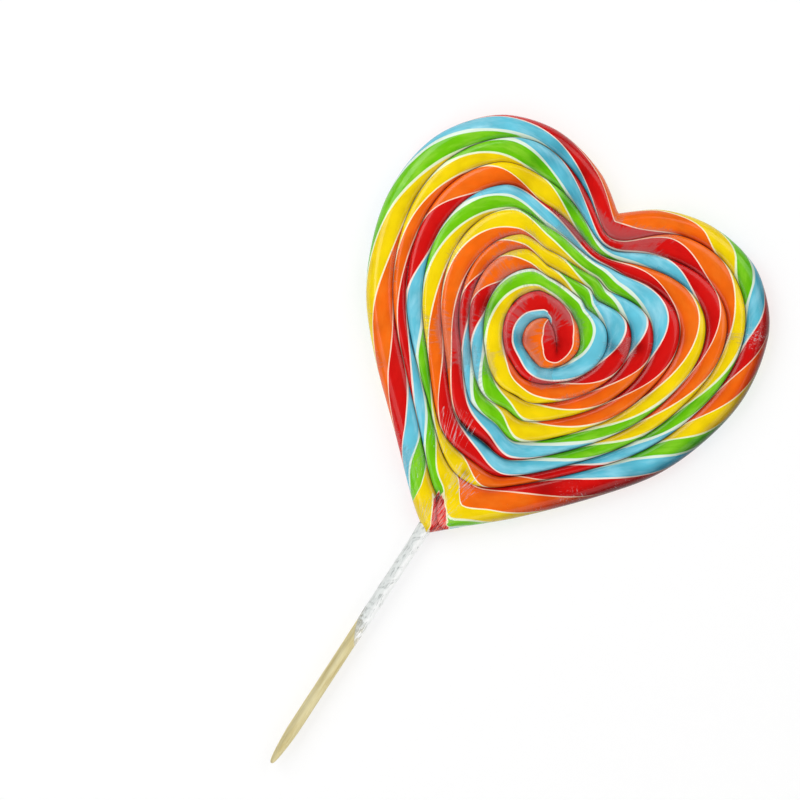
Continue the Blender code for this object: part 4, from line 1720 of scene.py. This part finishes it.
@dataclass
class Stick:
    """Round birch stick, sharpened at its free end."""

    line: StickLine
    radius: float = 2.25
    in_sweet: float = 39.5
    point_length: float = 14.0
    point_power: float = 0.36
    first_ring: float = 0.03
    chamfer: float = 0.35
    swing: Wander = Wander(0.012, 25.0, seed=3)
    swing_around: float = 9.0
    lee_side: float = 125.0
    lee_width: float = 50.0
    sides: int = 48
    rings: int = 150
    crowding: float = 1.6

    def triangles(self, rings: int) -> Array:
        """Triangles of the side and of both ends, whose middle points are numbered last.

        Args:
            rings: How many rings.

        Returns:
            Three point numbers a row.
        """
        sides, count = np.arange(self.sides), rings * self.sides
        after = (sides + 1) % self.sides
        top = count - self.sides
        first = np.stack((after, sides, np.full(self.sides, count)), 1)
        final = np.stack((top + sides, top + after, np.full(self.sides, count + 1)), 1)
        return np.concatenate((ring_triangles(rings, self.sides), first, final))

    def build(self) -> bpy.types.Object:
        """Build and dress the stick: a radius that grows as a power of the distance from the point.

        Returns:
            The object, riding on the root body in place of the solid.
        """
        length = self.line.free_length + self.in_sweet
        run = (np.linspace(0, 1, self.rings) ** self.crowding * length)[1:-1]
        run = np.concatenate(([self.first_ring], run, [length - self.chamfer, length]))
        radius = self.radius * np.minimum(1, run / self.point_length) ** self.point_power
        radius[-1] -= self.chamfer
        angle = np.linspace(0, 2 * math.pi, self.sides, endpoint=False)
        uneven = 1 + self.swing.at(run[:, None] + self.swing_around * np.cos(angle))
        rings = self.line.lay(
            radius[:, None] * uneven, np.broadcast_to(angle, (len(run), self.sides)),
            np.broadcast_to(run[:, None] - self.line.free_length, (len(run), self.sides)),
        )
        ends = self.line.lay(np.zeros(2), np.zeros(2), np.array((0.0, length)) - self.line.free_length)
        triangles = self.triangles(len(run))
        around = self.radius * np.sin(angle)[None] * 2
        fibre = np.stack(np.broadcast_arrays(around, run[:, None]), -1).reshape(-1, 2)
        fibre = np.concatenate((fibre, [(0.0, 0.0), (0.0, length)]))
        # Painted shade: a bell curve about the side away from the light, for the wood's finish.
        lee = np.exp(-(((np.degrees(angle) - self.lee_side) / self.lee_width) ** 2))
        piece = make_piece(
            "birch_stick", np.concatenate((rings.reshape(-1, 3), ends)), triangles,
            BirchWood().material(), {"grain": fibre[triangles.ravel()]},
            {"lee": np.concatenate((np.tile(lee, len(run)), [0.0, 0.0]))},
        )
        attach(piece, "root")
        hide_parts("stick")
        return piece


@dataclass
class FilmTwist:
    """The end of the film, gathered under the sweet and twisted down round the stick."""

    line: StickLine
    top: float = 3.2
    bottom: float = -42.5
    slant: float = 5.0
    slant_angle: float = 0.4
    inner: float = 2.3
    wall: float = 0.1
    neck: float = 0.4
    neck_length: float = 5.0
    neck_inside: float = 0.6
    thin_length: float = 9.0
    folds: float = 0.1
    twist: float = 1.5
    swerve: Wander = Wander(0.35, 16.0, seed=5)
    broad_ridges: int = 5
    broad_phase: float = 0.9
    broad_power: int = 4
    fine_ridges: int = 12
    fine_power: int = 5
    fine_height: float = 0.6
    swell_level: float = 0.6
    swell: Wander = Wander(0.4, 17.0, seed=6)
    under_fold: float = 0.5
    lee_from: float = 0.6
    sides: int = 96
    rings: int = 220

    def ridges(self, wound: Array, height: Array) -> Array:
        """Height of the folds: broad and fine ridges, which are powers of a sine, and a slow swell.

        Args:
            wound: Angle about the stick, less the twist.
            height: Height above the tip.

        Returns:
            The height, from 0 to 1.
        """
        broad = np.abs(np.sin(self.broad_ridges / 2 * wound + self.broad_phase)) ** self.broad_power
        fine = self.fine_height * np.abs(np.sin(self.fine_ridges / 2 * wound)) ** self.fine_power
        swell = self.swell_level + self.swell.at(height)
        return (broad + fine) / (1 + self.fine_height) * swell

    def build(self) -> bpy.types.Object:
        """Build and dress the twisted film.

        The radius is the stick's, plus a wall, a neck that falls off as a bell curve, and the folds,
        whose twist wanders along the stick.

        Returns:
            The object, riding on the root body in place of the solid.
        """
        angle = np.linspace(0, 2 * math.pi, self.sides, endpoint=False)[None]
        share = np.linspace(0, 1, self.rings)[:, None]
        end = self.bottom - self.slant * np.cos(angle - self.slant_angle)
        height = end + (self.top - end) * share
        wound = angle + self.twist * 2 * math.pi * share + self.swerve.at(height)
        fold = self.ridges(wound, height)
        neck = self.neck * np.exp(-(((self.top - height) / self.neck_length) ** 2))
        outside = self.inner + self.wall + neck + self.folds * fold * (1 + neck)
        inside = self.inner + self.neck_inside * neck
        full = np.broadcast_to(angle, height.shape)
        outer = self.line.lay(outside, full, height)
        under = self.line.lay(inside, full, height)[::-1]
        thin = 1 - np.clip((height - end) / self.thin_length, 0, 1)
        # Painted shade on the side away from the light, for the film's finish.
        lee = np.broadcast_to(smooth_step(self.lee_from - np.cos(angle)), height.shape)
        piece = make_piece(
            "film_twist", np.concatenate((outer, under)).reshape(-1, 3),
            ring_triangles(2 * self.rings, self.sides, closed_length=True), GatheredFilm().material(),
            values={
                "fold": np.concatenate((fold, fold[::-1] * self.under_fold)).ravel(),
                "thin": np.concatenate((thin, thin[::-1])).ravel(),
                "lee": np.tile(lee.ravel(), 2),
            },
        )
        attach(piece, "root")
        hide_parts("film_sleeve")
        return piece


@dataclass
class Studio:
    """White paper that rises into a wall all round, soft boxes, and a camera straight above.

    Lengths are metres here, apart from the centre of the picture. Each box has a bearing from the
    strongest, degrees above the floor, and a share of its watts.
    """

    floor_radii: tuple[float, ...] = (0.02, 0.3, 1.2)
    floor_radius: float = 2.4
    wall_bend: float = 0.8
    wall_height: float = 1.6
    wall_sides: int = 96
    bend_rings: int = 24
    below: float = 0.0004
    camera_height: float = 1.6
    camera_sees: float = 20.0
    frame_side: float = 0.292
    frame_centre: tuple[float, float] = (-32.6, 37.9)
    camera_turn: float = 30.7
    key_watts: float = 13.6
    key_bearing: float = 135.0
    box_distance: float = 1.5
    box_size: float = 1.2
    boxes: tuple[tuple[str, float, float, float], ...] = (
        ("key_light", 0, 50, 1.0), ("right_light", -100, 48, 0.6), ("low_light", 170, 48, 0.3),
        ("left_light", 80, 48, 0.5),
    )
    sky: float = 0.06

    def paper(self) -> bpy.types.Object:
        """The background: a disc whose edge bends up into a round wall, open at the top.

        The bend is a quarter circle: its radius times the sine outwards, and times 1 less the cosine
        upwards.

        Returns:
            The object.
        """
        bend = np.linspace(0, math.pi / 2, self.bend_rings)
        radius = np.concatenate((
            self.floor_radii, self.floor_radius + self.wall_bend * np.sin(bend),
            [self.floor_radius + self.wall_bend]))
        height = np.concatenate((
            np.zeros(len(self.floor_radii)), self.wall_bend * (1 - np.cos(bend)),
            [self.wall_bend + self.wall_height])) - self.below
        around = np.arange(self.wall_sides)
        angle = np.linspace(0, 2 * math.pi, self.wall_sides, endpoint=False)
        rings = np.stack((
            radius[:, None] * np.cos(angle), radius[:, None] * np.sin(angle),
            np.broadcast_to(height[:, None], (len(radius), self.wall_sides)),
        ), axis=-1)
        points = np.concatenate((rings.reshape(-1, 3), [(0, 0, -self.below)]))
        middle = np.full(self.wall_sides, len(points) - 1)
        hub = np.stack((around, (around + 1) % self.wall_sides, middle), 1)
        triangles = np.concatenate((ring_triangles(len(radius), self.wall_sides)[:, ::-1], hub))
        piece = make_piece("background_paper", points, triangles, StudioPaper().material())
        return piece

    def lights(self) -> None:
        """Square soft boxes at half height that look at the sweet, and a faint sky.

        The strongest is up left in the picture.
        """
        for name, bearing, above, share in self.boxes:
            light = bpy.data.lights.new(name, "AREA")
            light.shape, light.size, light.energy = "SQUARE", self.box_size, share * self.key_watts
            turn = math.radians(self.key_bearing + self.camera_turn + bearing)
            rise = math.radians(above)
            level = self.box_distance * math.cos(rise)
            box = bpy.data.objects.new(name, light)
            box.location = (
                level * math.cos(turn), level * math.sin(turn), self.box_distance * math.sin(rise))
            box.rotation_euler = (math.pi / 2 - rise, 0.0, turn + math.pi / 2)
            bpy.context.scene.collection.objects.link(box)
        world = bpy.data.worlds.new("studio_air")
        world.use_nodes = True
        background = world.node_tree.nodes["Background"].inputs
        background["Color"].default_value = FULL
        background["Strength"].default_value = self.sky
        bpy.context.scene.world = world

    def camera(self, place: Place) -> None:
        """A long lens straight above the sweet, turned so that the heart leans as in the photo.

        Its focal length is the sensor's width times the camera's height over the side of the frame.

        Args:
            place: Where the heart lies.
        """
        lens = bpy.data.cameras.new("camera")
        lens.lens = lens.sensor_width * self.camera_height / self.frame_side
        lens.clip_end = self.camera_sees
        camera = bpy.data.objects.new("camera", lens)
        centre = place.to_world(np.array((*self.frame_centre, place.thickness / 2)))
        camera.location = (centre[0], centre[1], centre[2] + self.camera_height)
        camera.rotation_euler = (0.0, 0.0, math.radians(self.camera_turn))
        bpy.context.scene.collection.objects.link(camera)
        bpy.context.scene.camera = camera

    def build(self, place: Place) -> None:
        """Set up the paper, the lights and the camera.

        Args:
            place: Where the heart lies.
        """
        self.paper()
        self.lights()
        self.camera(place)
        bpy.context.scene.view_settings.view_transform = "Standard"


def main() -> None:
    """Build the lollipop and its studio, and note the size of what shows."""
    logging.basicConfig(level=logging.INFO, format="%(message)s")
    swirl = Swirl()
    place = Place(swirl.outline)
    line = StickLine(place)
    parts: tuple[Callable[[], bpy.types.Object], ...] = (
        Sweet(place, swirl).build, FilmSkin(place, swirl).build,
        Stick(line).build, FilmTwist(line).build,
    )
    for build in parts:
        piece = build()
        LOG.info("%s: %d triangles", piece.name, len(piece.data.polygons))
    Studio().build(place)


if __name__ == "__main__":
    main()
